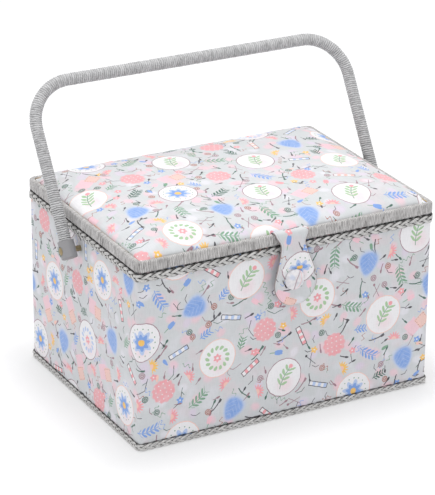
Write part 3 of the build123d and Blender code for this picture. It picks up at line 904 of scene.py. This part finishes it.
def seam_yarn(name, z, offset, radius, pitch, wave):
    """Dark yarn in a row of scallops beside a braid: partly dark stitches, partly painted shade
    in the gap over the braid.
    """
    loop, run = rounded_loop(BASE_HIGH.x, BASE_HIGH.y, BOX_CORNER, 900)
    waves = round(run[-1] / pitch)
    sides = 6
    rows = []
    for (x, y, nx, ny), s in zip(loop, run):
        swing = sin(2 * pi * waves * s / run[-1])
        r = radius * (0.3 + 0.7 * smooth(-0.8, 0.4, swing))
        row = []
        for a in circle(sides):
            out = offset + 0.3 * MM * swing + r * cos(a)
            row.append((x + nx * out, y + ny * out, z + wave * swing + r * sin(a)))
        rows.append(row)
    around = [j * 0.4 * MM for j in range(sides + 1)]
    part = grid(rows, run, around, wrap_i=True, wrap_j=True)
    count = len(part[0])
    return make(name, part, SEAM_YARN_AND_SHADE, {"shade": [0.2] * count, "depth": [1.0] * count})


def braids():
    """The braid under the lid and the finer one at the foot, each with its dark seam yarn, which
    also stands for painted shade over the braid.
    """
    foot_top = FOOT_HIGH.z - 2.0 * MM
    top = plaited("top_braid_plait", BRAID_LOW.z, BRAID_HIGH.z, periods=37,
                  strand_width=3.0 * MM, dark_share=1.0, gap_shade=1.0)
    place(top, "base", "braid", "top_braid")
    foot = plaited("foot_braid_plait", FOOT_LOW.z, foot_top, periods=46,
                   strand_width=2.5 * MM, dark_share=0.7, gap_shade=0.6)
    place(foot, "base", "braid", "foot_braid")
    for name, z, offset, radius, pitch, wave in (
        ("seam_yarn_top", BRAID_HIGH.z, 0.95, 0.8, 7.4, 0.2),
        ("seam_yarn_foot", foot_top, 0.5, 0.38, 10, 0.1),
    ):
        yarn = seam_yarn(name, z + 0.25 * MM, offset * MM, radius * MM, pitch * MM, wave * MM)
        place(yarn, "base", "braid")


def underside():
    """Stiff sheet that the box stands on, with a rounded edge."""
    loop, run = rounded_loop(UNDER_HIGH.x, UNDER_HIGH.y, 3.2 * MM, 200)
    profile = [(0.0, 1.5), (0.0, 0.5), (0.4, 0.08), (1.2, 0.0), (30.0, 0.0), (90.0, 0.0)]
    rounding, half_depth = 2, 119
    rows = []
    for x, y, nx, ny in loop:
        row = []
        for inset, z in profile:
            if inset > rounding:
                share = 1 - inset / half_depth
                row.append((x * share, y * share, z * MM))
            else:
                row.append((x - nx * inset * MM, y - ny * inset * MM, z * MM))
        rows.append(row)
    insets = [inset * MM for inset, _ in profile]
    part = verts, faces, uvs = grid(rows, run, insets, wrap_i=True, flip=True)
    outer = [i * len(profile) for i in range(len(rows))]
    for ring in (outer, [q + len(profile) - 1 for q in reversed(outer)]):
        faces.append(ring)
        uvs.extend([verts[q][:2] for q in ring])
    obj = make("underside_sheet", part, BASE_CLOTH)
    weld(obj)
    return place(obj, "base", "base_cloth", "underside")


# Lid


def rim():
    """Cord wound tightly over the lid's frame: a ridge for each turn."""
    low, high = RIM_LOW.z, RIM_HIGH.z
    turns, steps, slant = 620, 6, 0.1
    loop, run = rounded_loop(RIM_HIGH.x, RIM_HIGH.y, 8 * MM, turns * steps)
    profile = [
        (5.45, 0.5), (5.45, 6.0), (5.3, 10.6), (4.5, 11.35), (3.4, 11.5), (2.2, 11.5),
        (1.2, 11.2), (0.45, 10.55), (0.1, 9.6), (0.0, 8.2), (0.0, 6.4), (0.0, 4.6),
        (0.0, 2.8), (0.08, 1.3), (0.4, 0.45), (1.1, 0.08), (2.6, 0.0), (4.6, 0.05),
    ]
    centre_d, centre_z = 2.7, 5.75
    rows, shade, depth = [], [], []
    for k in range(turns):
        tone = rng.random()
        thick = rng.uniform(0.6, 1.0)
        tick = rng.random() < 0.14
        tick_low, tick_high = sorted((rng.uniform(-2, 12), rng.uniform(-2, 12)))
        for part in range(steps):
            x, y, nx, ny = loop[k * steps + part]
            s = run[k * steps + part]
            crest = sin(pi * (part + 0.5) / steps) ** 0.7
            groove = (1 - crest) * (1.0 if tick else 0.8) + (1 - thick) * 0.5
            row = []
            for d, z in profile:
                out, up = d - centre_d, (z - centre_z) * 0.5
                away = hypot(out, up) or 1
                dd = (d - groove * out / away) * MM
                zz = low + (z - groove * up / away) * MM
                shift = slant * (z - centre_z) * MM if d < 5 else 0.0
                row.append((x - nx * dd - ny * shift, y - ny * dd + nx * shift, min(zz, high)))
                # Painted shade in the grooves between turns, more beside thin turns, with random
                # darker flecks and darker ticks over part of some turns
                dark = (1 - crest) * (0.75 + 0.3 * tone) + 0.2 * (1 - thick)
                dark += 0.28 * max(lump(s * 520, z * 0.42, 6), 0)
                if tick and tick_low < z < tick_high:
                    dark += 0.34
                depth.append(min(dark, 1.0))
                shade.append(0.1 + 0.9 * tone)
            rows.append(row)
    around = [j * 1.6 * MM for j in range(len(profile) + 1)]
    part = grid(rows, run, around, wrap_i=True, wrap_j=True)
    obj = make("rim_cord_winding", part, RIM_CORD, {"shade": shade, "depth": depth})
    return place(obj, "lid", "rim_cord", "rim_winding")


PAD_WALL, PAD_ROLL, PAD_RISE = 3.0 * MM, 50 * MM, 12.5 * MM
PAD_SPRING = PAD_LOW.z + PAD_WALL


def pad_level(x, y, half_x, half_y, shrink):
    """Height of the padded top over a point, and how far the point is from the edge."""
    ex, ey = half_x - abs(x), half_y - abs(y)
    blend = 16 * MM
    h = max(blend - abs(ex - ey), 0) / blend
    edge = max(min(ex, ey) - h * h * blend / 4, 0)
    t = min(edge / PAD_ROLL, 1)
    crown = (PAD_HIGH.z - PAD_SPRING - PAD_RISE) * smooth(0, 0.1, edge)
    level = PAD_SPRING + (PAD_RISE - shrink) * sqrt(1 - (1 - t) ** 2) + crown - shrink
    return level, edge


def pad_mesh(name, half_x, half_y, shrink):
    """Closed pad: a flat underside, short upright walls and a crowned top."""
    across, along, corner = 64, 48, 6 * MM
    under, top = [], []
    for i in range(across + 1):
        for j in range(along + 1):
            # The points lie closer together near the edges
            x, y = (
                (sin(pi * (k / n - 0.5)) * 0.35 + (2 * k / n - 1) * 0.65) * half
                for k, n, half in ((i, across, half_x), (j, along, half_y))
            )
            ox, oy = abs(x) - half_x + corner, abs(y) - half_y + corner
            if ox > 0 and oy > 0:
                reach = max(ox, oy) / max(hypot(ox, oy), 1e-9)
                x = copysign(half_x - corner + ox * reach, x)
                y = copysign(half_y - corner + oy * reach, y)
            border = i in (0, across) or j in (0, along)
            z = PAD_SPRING if border else pad_level(x, y, half_x, half_y, shrink)[0]
            under.append((x, y, PAD_LOW.z + 0.2 * MM))
            top.append((x, y, z))
    rise = len(under)
    corners = ((0, 0), (1, 0), (1, 1), (0, 1))
    quads = [
        [(i + a) * (along + 1) + j + b for a, b in corners]
        for i in range(across) for j in range(along)
    ]
    border = [(i, 0) for i in range(across)] + [(across, j) for j in range(along)]
    border += [(i, along) for i in range(across, 0, -1)] + [(0, j) for j in range(along, 0, -1)]
    ring = [i * (along + 1) + j for i, j in border]
    faces = [quad[::-1] for quad in quads] + [[q + rise for q in quad] for quad in quads]
    faces += [[p, q, q + rise, p + rise] for p, q in zip(ring, ring[1:] + ring[:1])]
    return make(name, (under + top, faces, []), LID_CLOTH)


def inflate(obj, pressure, limit, free, frames=20):
    """Lets cloth swell from within; free gives the share of its move that a point keeps."""
    before = [v.co.copy() for v in obj.data.vertices]
    cloth = obj.modifiers.new("Cloth", "CLOTH")
    cloth.settings.use_pressure = True
    cloth.settings.uniform_pressure_force = pressure
    cloth.settings.effector_weights.gravity = 0.0
    cloth.settings.quality = 5
    cloth.settings.tension_stiffness = 12
    cloth.settings.bending_stiffness = 0.4
    cloth.point_cache.frame_start = 1
    cloth.point_cache.frame_end = frames
    for frame_number in range(1, frames + 1):
        bpy.context.scene.frame_set(frame_number)
    graph = bpy.context.evaluated_depsgraph_get()
    swollen = bpy.data.meshes.new_from_object(obj.evaluated_get(graph))
    obj.modifiers.clear()
    for v, old, new in zip(obj.data.vertices, before, swollen.vertices):
        move = new.co - old
        if move.length > limit:
            move *= limit / move.length
        v.co = old + move * free(old)
    bpy.data.meshes.remove(swollen)
    bpy.context.scene.frame_set(1)


def lid_cushion():
    """Padded top: swollen cloth, pulled in along the rim, with small tucks at its edge."""
    half_x, half_y = PAD_HIGH.x, PAD_HIGH.y
    start = 1.6 * MM
    obj = pad_mesh("lid_cushion", half_x - start, half_y - start, 0.9 * MM)
    modify(obj, "REMESH", mode="VOXEL", voxel_size=4.5 * MM)

    def free(point):
        edge = min(half_x - abs(point.x), half_y - abs(point.y))
        return smooth(3 * MM, 22 * MM, edge)

    inflate(obj, pressure=4.0, limit=2.4 * MM, free=free)
    modify(obj, "SUBSURF", levels=1)
    stretch_x = half_x / max(v.co.x for v in obj.data.vertices)
    stretch_y = half_y / max(v.co.y for v in obj.data.vertices)
    for v in obj.data.vertices:
        x, y, z = v.co.x * stretch_x, v.co.y * stretch_y, v.co.z
        wanted, edge = pad_level(x, y, half_x, half_y, 0.0)
        if z > PAD_SPRING - 1.2 * MM:
            z += max(wanted - z, 0.0) * (1 - smooth(6 * MM, 22 * MM, edge))
        if z > PAD_LOW.z + 1.5 * MM:
            near = 1 - smooth(0, 34 * MM, edge)
            along = x if half_y - abs(y) < half_x - abs(x) else y
            tuck = lump(along * 95, copysign(3, x * y), 5.5)
            tuck += 0.5 * lump(along * 210, edge * 20, 1.5)
            swell = lump(x * 13, y * 13, 9)
            z += 0.55 * MM * (near * tuck + (1 - near) * swell)
        x = min(max(x, -half_x), half_x)
        y = min(max(y, -half_y), half_y)
        v.co = (x, y, min(max(z, PAD_LOW.z), wanted + 0.45 * MM))
    obj.data.materials.clear()
    obj.data.materials.append(LID_CLOTH)
    smooth_shaded(obj.data)
    return place(obj, "lid", "lid_fabric", "lid_cover", "lid_foam")


def lid_lining():
    """Plain cloth under the lid, lying flat along its edge against the rails."""
    half_x, half_y = LID_LINING_HIGH.x, LID_LINING_HIGH.y
    us = [(2 * i / 52 - 1) * half_x for i in range(53)]
    vs = [(2 * j / 40 - 1) * half_y for j in range(41)]
    rows = []
    for x in us:
        row = []
        for y in vs:
            edge = min(half_x - abs(x), half_y - abs(y))
            pull = 0.3 * MM * lump(x * 30, y * 30, 1) - 0.15 * MM
            row.append((x, y, LID_LINING_LOW.z + 0.3 * MM + smooth(0, 12 * MM, edge) * pull))
        rows.append(row)
    obj = make("lid_lining_cloth", grid(rows, us, vs, flip=True), LINING_CLOTH)
    thicken(obj, 0.4 * MM)
    return place(obj, "lid", "lining_fabric", "lid_lining")


def pouf():
    """Pincushion: a stuffed round, gathered where it is sewn down, tufted in the middle."""
    cx, cy = (POUF_LOW.x + POUF_HIGH.x) / 2, (POUF_LOW.y + POUF_HIGH.y) / 2
    radius = POUF_HIGH.x - cx
    top = POUF_HIGH.z
    tall = top - POUF_LOW.z
    around, rings = 144, 26
    rows = []
    for a in circle(around):
        row = []
        for j in range(rings):
            t = j / (rings - 1)
            swing = pi * (0.5 + 0.5 * t) - pi * 0.18 * (1 - t)
            out = max(sin(swing) ** 0.62, 0.0) if t < 1 else 0.0
            drop = 0.5 - 0.5 * cos(swing)
            z = top - (tall * drop if t > 0.0 else 0.2 * MM)
            gather = 0.55 * MM * cos(24 * a) * (1 - smooth(0.0, 0.45, t))
            dimple = 2.6 * MM * (1 - smooth(0.0, 0.32, out)) * smooth(0.5, 1.0, t)
            tuft = 0.35 * MM * cos(8 * a) * smooth(0.6, 0.95, t) * smooth(0.05, 0.3, out)
            r = radius * out + gather
            row.append((cx + r * cos(a), cy + r * sin(a), min(z + dimple + tuft, top)))
        rows.append(row)
    us = [i * 1.3 * MM for i in range(around + 1)]
    vs = [j * 1.8 * MM for j in range(rings)]
    part = grid(rows, us, vs, wrap_i=True)
    cap(part, [i * rings for i in range(around)])
    obj = make("pin_pouf", part, POUF_CLOTH)
    weld(obj)
    return place(obj, "lid", "lining_fabric", "pin_cushion")


def pocket():
    """Gathered pocket under the lid: sewn on three sides, elastic along its mouth."""
    x0, x1 = POCKET_LOW.x, POCKET_HIGH.x
    y0, y1 = POCKET_LOW.y, POCKET_HIGH.y
    top, bottom = POCKET_HIGH.z, POCKET_LOW.z
    across, along = 300, 26
    rows = []
    for i in range(across + 1):
        x = x0 + (x1 - x0) * i / across
        ripple = sin(2 * pi * x / (6.2 * MM) + 1.3 * sin(x * 160))
        row = []
        for j in range(along + 1):
            y = y0 + (y1 - y0) * j / along
            hang = smooth(0, 9 * MM, min(x - x0, x1 - x)) * smooth(0, 9 * MM, y1 - y)
            belly = (top - bottom) * (0.78 + 0.12 * sin(pi * j / along))
            on_elastic = abs(y - (y0 + 9 * MM)) < 3.2 * MM
            ruffle = 0.75 * MM * (1 - 0.55 * smooth(0, 50 * MM, y - y0)) * hang * ripple
            ruffle += 0.3 * MM * hang * lump(x * 120, y * 30, 4)
            z = top - 0.35 * MM - belly * hang - ruffle * (0.7 if on_elastic else 1.0)
            row.append((x, y, max(z, bottom - 0.8 * MM)))
        rows.append(row)
    us = [1.25 * (x1 - x0) * i / across for i in range(across + 1)]
    vs = [(y1 - y0) * j / along for j in range(along + 1)]
    obj = make("gathered_pocket", grid(rows, us, vs, flip=True), POCKET_CLOTH)
    thicken(obj, 0.35 * MM, offset=0)
    return place(obj, "lid", "lining_fabric", "lid_pocket", "pocket_elastic")


# Closing tab

TAB_AXIS_Y, TAB_AXIS_Z = -(RIM_HIGH.y + 1.9 * MM), RIM_HIGH.z + 1.5 * MM
TAB_FRONT = -122 * MM
FLARE = 18.5 * MM
LOBE = 23.5 * MM
LOBE_LEAN = 2.8 * MM
NECK, NECK_ABOVE = 11.3 * MM, 43 * MM
TOUCH, TOUCH_ABOVE = 22.7 * MM, 6 * MM
BUTTON_X, BUTTON_Z = (BUTTON_LOW.x + BUTTON_HIGH.x) / 2, (BUTTON_LOW.z + BUTTON_HIGH.z) / 2
BUTTON_RADIUS = (BUTTON_HIGH.x - BUTTON_LOW.x) / 2


def tab_line():
    """Middle of the strap from its tuck behind the rim, over the rim and down to the lobe."""
    hang_y = TAB_LOW.y + 1.5 * MM
    tuck = [(-115.2, -3.6), (-115.9, -0.6), (-117.2, 0.9), (-119.2, 1.35), (-121.4, 1.2)]
    points = [(y * MM, RIM_HIGH.z + z * MM) for y, z in tuck]
    bend = [(0, 0.9), (1.25, 3.4), (2.1, 8), (3.0, 15), (3.9, 25)]
    points += [(TAB_AXIS_Y - out * MM, TAB_AXIS_Z - down * MM) for out, down in bend]
    points.append((hang_y, TAB_AXIS_Z - 38 * MM))
    points += [(hang_y, TAB_LOW.z + up * MM) for up in (40, 20, 0.6)]
    # A smooth curve through the points, denser at the lobe's end
    ends = [points[0]] + points + [points[-1]]
    line, steps = [], 7
    for a, b, c, d in zip(ends, ends[1:], ends[2:], ends[3:]):
        for t in (k / steps for k in range(steps)):
            line.append(tuple(
                0.5 * (2 * q + (r - p) * t + (2 * p - 5 * q + 4 * r - s) * t * t
                       + (3 * q - p - 3 * r + s) * t**3)
                for p, q, r, s in zip(a, b, c, d)
            ))
    line.append(points[-1])
    dense = []
    for (y0, z0), (y1, z1) in zip(line, line[1:]):
        pieces = 3 if min(z0, z1) < TAB_LOW.z + 4 * MM else 1
        for k in range(pieces):
            dense.append((y0 + (y1 - y0) * k / pieces, z0 + (z1 - z0) * k / pieces))
    return dense + [line[-1]]


def tab_half_width(z, on_top):
    """Half the strap's width at a height: flared at the rim, tapered down to the round lobe."""
    if on_top:
        return FLARE
    above = z - TAB_LOW.z - LOBE
    if above < TOUCH_ABOVE:
        return max(sqrt(max(LOBE**2 - above**2, 0.0)), 0.4 * MM)
    strap = NECK + (FLARE - NECK) * smooth(TAB_AXIS_Z - 19 * MM, TAB_AXIS_Z, z) ** 1.4
    taper = TOUCH - (TOUCH - NECK) * (above - TOUCH_ABOVE) / (NECK_ABOVE - TOUCH_ABOVE)
    blend = 4 * MM
    h = max(blend - abs(taper - strap), 0) / blend
    return max(taper, strap) + h * h * blend / 4


def button_pull(x, z):
    """How far the strap's front stands out by the button's folds, or is drawn in by it."""
    up = z - BUTTON_Z
    d = hypot(x, up)
    held = BUTTON_RADIUS * 0.9
    draw = 1.0 if d < held else bell(d - held, 2.2 * MM)
    fan = max(cos(atan2(up, x) * 5 + 0.6), 0) ** 2
    fan *= bell(d - BUTTON_RADIUS - 4 * MM, 4.5 * MM)
    pinch = bell((x + 8.5 * MM) * 0.9 + (up - 13 * MM) * 0.25, 1.3 * MM)
    pinch *= smooth(4 * MM, 9 * MM, up) * (1 - smooth(18 * MM, 30 * MM, up))
    return (0.35 * fan - 0.55 * draw - 0.5 * pinch) * MM


def tab():
    """Padded strap with a turned edge, drawn in under its button."""
    line = tab_line()
    columns = 33
    rows, edges, flat_places = [], [], []
    run = 0.0
    for k, (y, z) in enumerate(line):
        y_before, z_before = line[max(k - 1, 0)]
        y_after, z_after = line[min(k + 1, len(line) - 1)]
        run += hypot(y - y_before, z - z_before)
        ty, tz = y_after - y_before, z_after - z_before
        size = hypot(ty, tz) or 1
        ny, nz = tz / size, -ty / size
        half = tab_half_width(z, y > TAB_FRONT)
        lean = LOBE_LEAN * (1 - smooth(TAB_LOW.z + LOBE, RIM_HIGH.z, z))
        front, back, edge_row, places = [], [], [], []
        for j in range(columns):
            q = 2 * j / (columns - 1) - 1
            share = sin(q * pi / 2) * 0.6 + q * 0.4
            x = lean + half * share
            from_edge = half * (1 - abs(share))
            if z < TAB_LOW.z + LOBE:
                from_edge = min(from_edge, max(z - TAB_LOW.z, 0))
            edge_row.append(from_edge / MM)
            places.append((x, RIM_HIGH.z - run))
            puff = 0.35 * MM + 1.05 * MM * smooth(0, 6 * MM, from_edge)
            puff -= 0.3 * MM * bell(from_edge - 1.7 * MM, 0.5 * MM)
            puff += 0.16 * MM * lump(x * 130, z * 70, 3)
            if y < TAB_FRONT:
                puff += button_pull(x, z)
            behind = 0.35 * MM + 0.75 * MM * smooth(0, 4 * MM, from_edge)
            front.append((x, y - ny * puff, z - nz * puff))
            back.append((x, y + ny * behind, z + nz * behind))
        rows.append(front + back[::-1])
        edges.extend(edge_row + edge_row[::-1])
        flat_places.extend(places + places[::-1])
    width = 2 * columns
    verts, faces, _ = grid(rows, [0.0] * len(rows), [0.0] * (width + 1), wrap_j=True)
    for first, turned in ((0, False), ((len(rows) - 1) * width, True)):
        for j in range(columns - 1):
            far = first + width - 1 - j
            quad = [first + j, first + j + 1, far - 1, far]
            faces.append(quad[::-1] if turned else quad)
    uvs = [flat_places[q] for face in faces for q in face]
    obj = make("closing_tab", (verts, faces, uvs), TAB_CLOTH, {"edge": edges})
    weld(obj, 0.00002)
    modify(obj, "SUBSURF", levels=1)
    smooth_shaded(obj.data)
    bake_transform(obj)
    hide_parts("closure_tab", "tab_root")
    return obj


def button():
    """Cloth-covered button: a domed shell whose cloth is pleated at its edge."""
    back, front = BUTTON_HIGH.y, BUTTON_LOW.y
    profile = [
        (0.90, 0.0), (0.975, 0.06), (1.0, 0.17), (0.99, 0.29), (0.95, 0.42), (0.88, 0.55),
        (0.78, 0.68), (0.65, 0.80), (0.48, 0.90), (0.30, 0.965), (0.13, 0.995),
    ]
    around, columns = 96, len(profile)
    rows = []
    for a in circle(around):
        c, s = cos(a), sin(a)
        row = []
        for share, h in profile:
            pleat = 0.012 * cos(18 * a + 0.7) * smooth(0.6, 0.95, share)
            dent = 0.03 * lump(c * share * 1.7, s * share * 1.7, 2)
            r = BUTTON_RADIUS * min(share + pleat, 1.0)
            y = back - (back - front) * (h + dent * h)
            row.append((BUTTON_X + r * c, y, BUTTON_Z + r * s))
        rows.append(row)
    us = [i * 0.6 * MM for i in range(around + 1)]
    part = grid(rows, us, [share * BUTTON_RADIUS for share, _ in profile], wrap_i=True)
    part[0].append((BUTTON_X, front, BUTTON_Z))
    inner = [i * columns + columns - 1 for i in range(around)]
    for here, following in zip(inner, inner[1:] + inner[:1]):
        cap(part, [here, following, len(part[0]) - 1])
    cap(part, [i * columns for i in reversed(range(around))])
    obj = make("button_dome", part, BUTTON_CLOTH)
    weld(obj)
    modify(obj, "SUBSURF", levels=1)
    return place(obj, "tab", "button_cloth", "covered_button")


# Handle

LEAN = radians(31.8)
LEG_X, SHOULDER_X = 173.4 * MM, 174.4 * MM
HANDLE_RISE, HANDLE_BEND = 163.2 * MM, 43 * MM
GRIP, CORD_PITCH, GROOVE = 6.25 * MM, 2.15 * MM, 0.85 * MM
FOOT = 9.4 * MM
PIVOT_Y, PIVOT_Z = 4.0 * MM, 163.2 * MM


def handle_line():
    """The bent rod's centre line in its own leaning plane: a function of the run along it."""
    splay = atan((SHOULDER_X - LEG_X) / HANDLE_RISE)
    turn = pi / 2 + splay
    cut = HANDLE_BEND * tan(turn / 2)
    foot_x = LEG_X + FOOT * tan(splay)
    leg = hypot(foot_x - SHOULDER_X, HANDLE_RISE - FOOT) - cut
    arc = HANDLE_BEND * turn
    total = 2 * (leg + arc + SHOULDER_X - cut)

    def at(s):
        """Place and direction at a run, the far half mirrored from the near one."""
        side = -1 if s > total / 2 else 1
        s = min(s, total - s)
        heading = turn - min(max((s - leg) / HANDLE_BEND, 0), turn)
        du, dv = cos(heading), sin(heading)
        if s < leg:
            u, v = -foot_x + du * s, FOOT + dv * s
        elif s < leg + arc:
            u = cut - SHOULDER_X - HANDLE_BEND * dv
            v = HANDLE_RISE - HANDLE_BEND + HANDLE_BEND * du
        else:
            u, v = cut - SHOULDER_X + s - leg - arc, HANDLE_RISE
        return side * u, v, du, side * dv

    return at, total


def handle():
    """Cord wound close round the handle, as one ridged helix."""
    at, total = handle_line()
    turns = round(total / CORD_PITCH)
    steps, sides = 7, 30
    count = turns * steps
    rows, shade, depth = [], [], []
    tones = [rng.random() for _ in range(turns + 2)]
    gaps = [rng.random() for _ in range(turns + 2)]
    us = [total * k / count for k in range(count + 1)]
    for s in us:
        u, v, du, dv = at(s)
        low_leg = 1 - smooth(0, 110 * MM, v)
        row = []
        for j, a in enumerate(circle(sides)):
            wander = 0.3 * lump(s * 240, cos(a) * 2, sin(a) * 2)
            phase = max(turns * s / total + j / sides + wander, 0.0)
            turn = min(int(phase), turns + 1)
            crest = abs(sin(pi * phase)) ** 0.75
            r = GRIP - GROOVE * (1 - crest) - 0.2 * MM * gaps[turn]
            side, out = r * cos(a), r * sin(a)
            rise = v + du * side
            row.append((
                u - dv * side,
                PIVOT_Y + rise * sin(LEAN) - out * cos(LEAN),
                PIVOT_Z + rise * cos(LEAN) + out * sin(LEAN),
            ))
            shade.append(tones[turn])
            # Painted shade in the grooves between turns, darker lower down the legs and beside
            # thin turns
            dark = (1 - crest) * (0.95 + 0.35 * low_leg)
            depth.append(min(1.0, dark + (0.2 * low_leg if gaps[turn] > 0.75 else 0.0)))
        rows.append(row)
    vs = [GRIP * 2 * pi * j / sides for j in range(sides + 1)]
    part = grid(rows, us, vs, wrap_j=True)
    cap(part, list(range(sides)))
    cap(part, [count * sides + j for j in reversed(range(sides))])
    obj = make("handle_cord_winding", part, HANDLE_CORD, {"shade": shade, "depth": depth})
    return place(obj, "handle", "handle_cord", "handle_winding")


# Build

for build in (wall_cloth, lining, braids, underside, rim, lid_cushion, lid_lining, pouf, pocket,
              tab, button, handle):
    build()

for node in nodes.values():
    slot_name = node.material_slots[0].material.name if node.material_slots else ""
    for slot_key, finish in FINISHES.items():
        if slot_name.startswith(slot_key):
            node.material_slots[0].material = finish


# Floor, light and camera

FLOOR = 6.0
SHADOW_REACH = 75 * MM
GLOW_IN_PAINTED_SHADOW, OPEN_GLOW, GLOW_SHARE = 0.78, 1.02, 0.62
WORLD_LIGHT = 0.8
PAPER = (1, 1, 1, 1)
floor_mesh = bpy.data.meshes.new("floor")
floor_corners = [(x * FLOOR, y * FLOOR, 0) for x, y in ((-1, -1), (1, -1), (1, 1), (-1, 1))]
floor_mesh.from_pydata(floor_corners, [], [(0, 1, 2, 3)])
floor = bpy.data.objects.new("floor", floor_mesh)
bpy.context.scene.collection.objects.link(floor)
floor_material, t, shader = material("floor_paper", colour(250, 250, 252), 0.9)
floor_x, floor_y, _ = split(place_on(t, "object"))
clear_x = most(abs(floor_x) - BASE_HIGH.x, 0.0)
clear_y = most(abs(floor_y) - BASE_HIGH.y, 0.0)
# Painted shadow: the floor glows less for the camera near the box's foot, fading out over
# SHADOW_REACH
painted_shadow_glow = step(length(clear_x, clear_y), 0.0, SHADOW_REACH, GLOW_IN_PAINTED_SHADOW, OPEN_GLOW)
paper = t.field("ShaderNodeEmission", {"Color": PAPER, "Strength": painted_shadow_glow})
share = seen_directly(t) * GLOW_SHARE
paper = t.field("ShaderNodeMixShader", {0: share, 1: Field(t, shader.outputs[0]), 2: paper})
t.feed(floor_material.node_tree.nodes["Material Output"], {0: paper})
floor_mesh.materials.append(floor_material)

world = bpy.data.worlds.new("studio")
bpy.context.scene.world = world
world.use_nodes = True
t = Tree(world.node_tree)
t.feed(world.node_tree.nodes["Background"],
       {"Color": PAPER, "Strength": step(seen_directly(t), 0.0, 1.0, WORLD_LIGHT, 1.0)})

LAMP_POWER = 20
LAMP_TARGET = Vector((0, 0, 100 * MM))
for lamp_name, lamp_place, lamp_size in (
    ("key", Vector((-0.45, -0.3, 2.4)), 1.4),
    ("top", Vector((0.5, 0.7, 2.5)), 1.8),
):
    lamp_data = bpy.data.lights.new(lamp_name, "AREA")
    lamp_data.shape = "DISK"
    lamp_data.size = lamp_size
    lamp_data.energy = LAMP_POWER
    lamp = bpy.data.objects.new(lamp_name, lamp_data)
    lamp.location = lamp_place
    lamp.rotation_euler = (LAMP_TARGET - lamp_place).to_track_quat("-Z", "Y").to_euler()
    bpy.context.scene.collection.objects.link(lamp)

AZIMUTH, ELEVATION, ROLL = (radians(a) for a in (-28.84, 23.46, 0.5539))
FOCAL_PX, DISTANCE = 2653.65, 2628.26 * MM
PHOTO_WIDTH, PHOTO_HEIGHT = 435, 495
TARGET = Vector((0, 0, 120 * MM))
TARGET_PX = (228.54, 259.92)
SENSOR = 36.0
forward = Vector((
    -sin(AZIMUTH) * cos(ELEVATION),
    cos(AZIMUTH) * cos(ELEVATION),
    -sin(ELEVATION),
))
level = forward.cross(Vector((0, 0, 1))).normalized()
upright = level.cross(forward)
right = level * cos(ROLL) + upright * sin(ROLL)
up = upright * cos(ROLL) - level * sin(ROLL)
camera_data = bpy.data.cameras.new("camera")
camera_data.sensor_width = SENSOR
camera_data.lens = FOCAL_PX * SENSOR / PHOTO_HEIGHT
camera_data.shift_x = -(TARGET_PX[0] - PHOTO_WIDTH / 2) / PHOTO_HEIGHT
camera_data.shift_y = (TARGET_PX[1] - PHOTO_HEIGHT / 2) / PHOTO_HEIGHT
camera = bpy.data.objects.new("camera", camera_data)
rotation = Matrix((right, up, -forward)).transposed()
camera.matrix_world = Matrix.Translation(TARGET - forward * DISTANCE) @ rotation.to_4x4()
bpy.context.scene.collection.objects.link(camera)
bpy.context.scene.camera = camera
bpy.context.scene.view_settings.view_transform = "Standard"
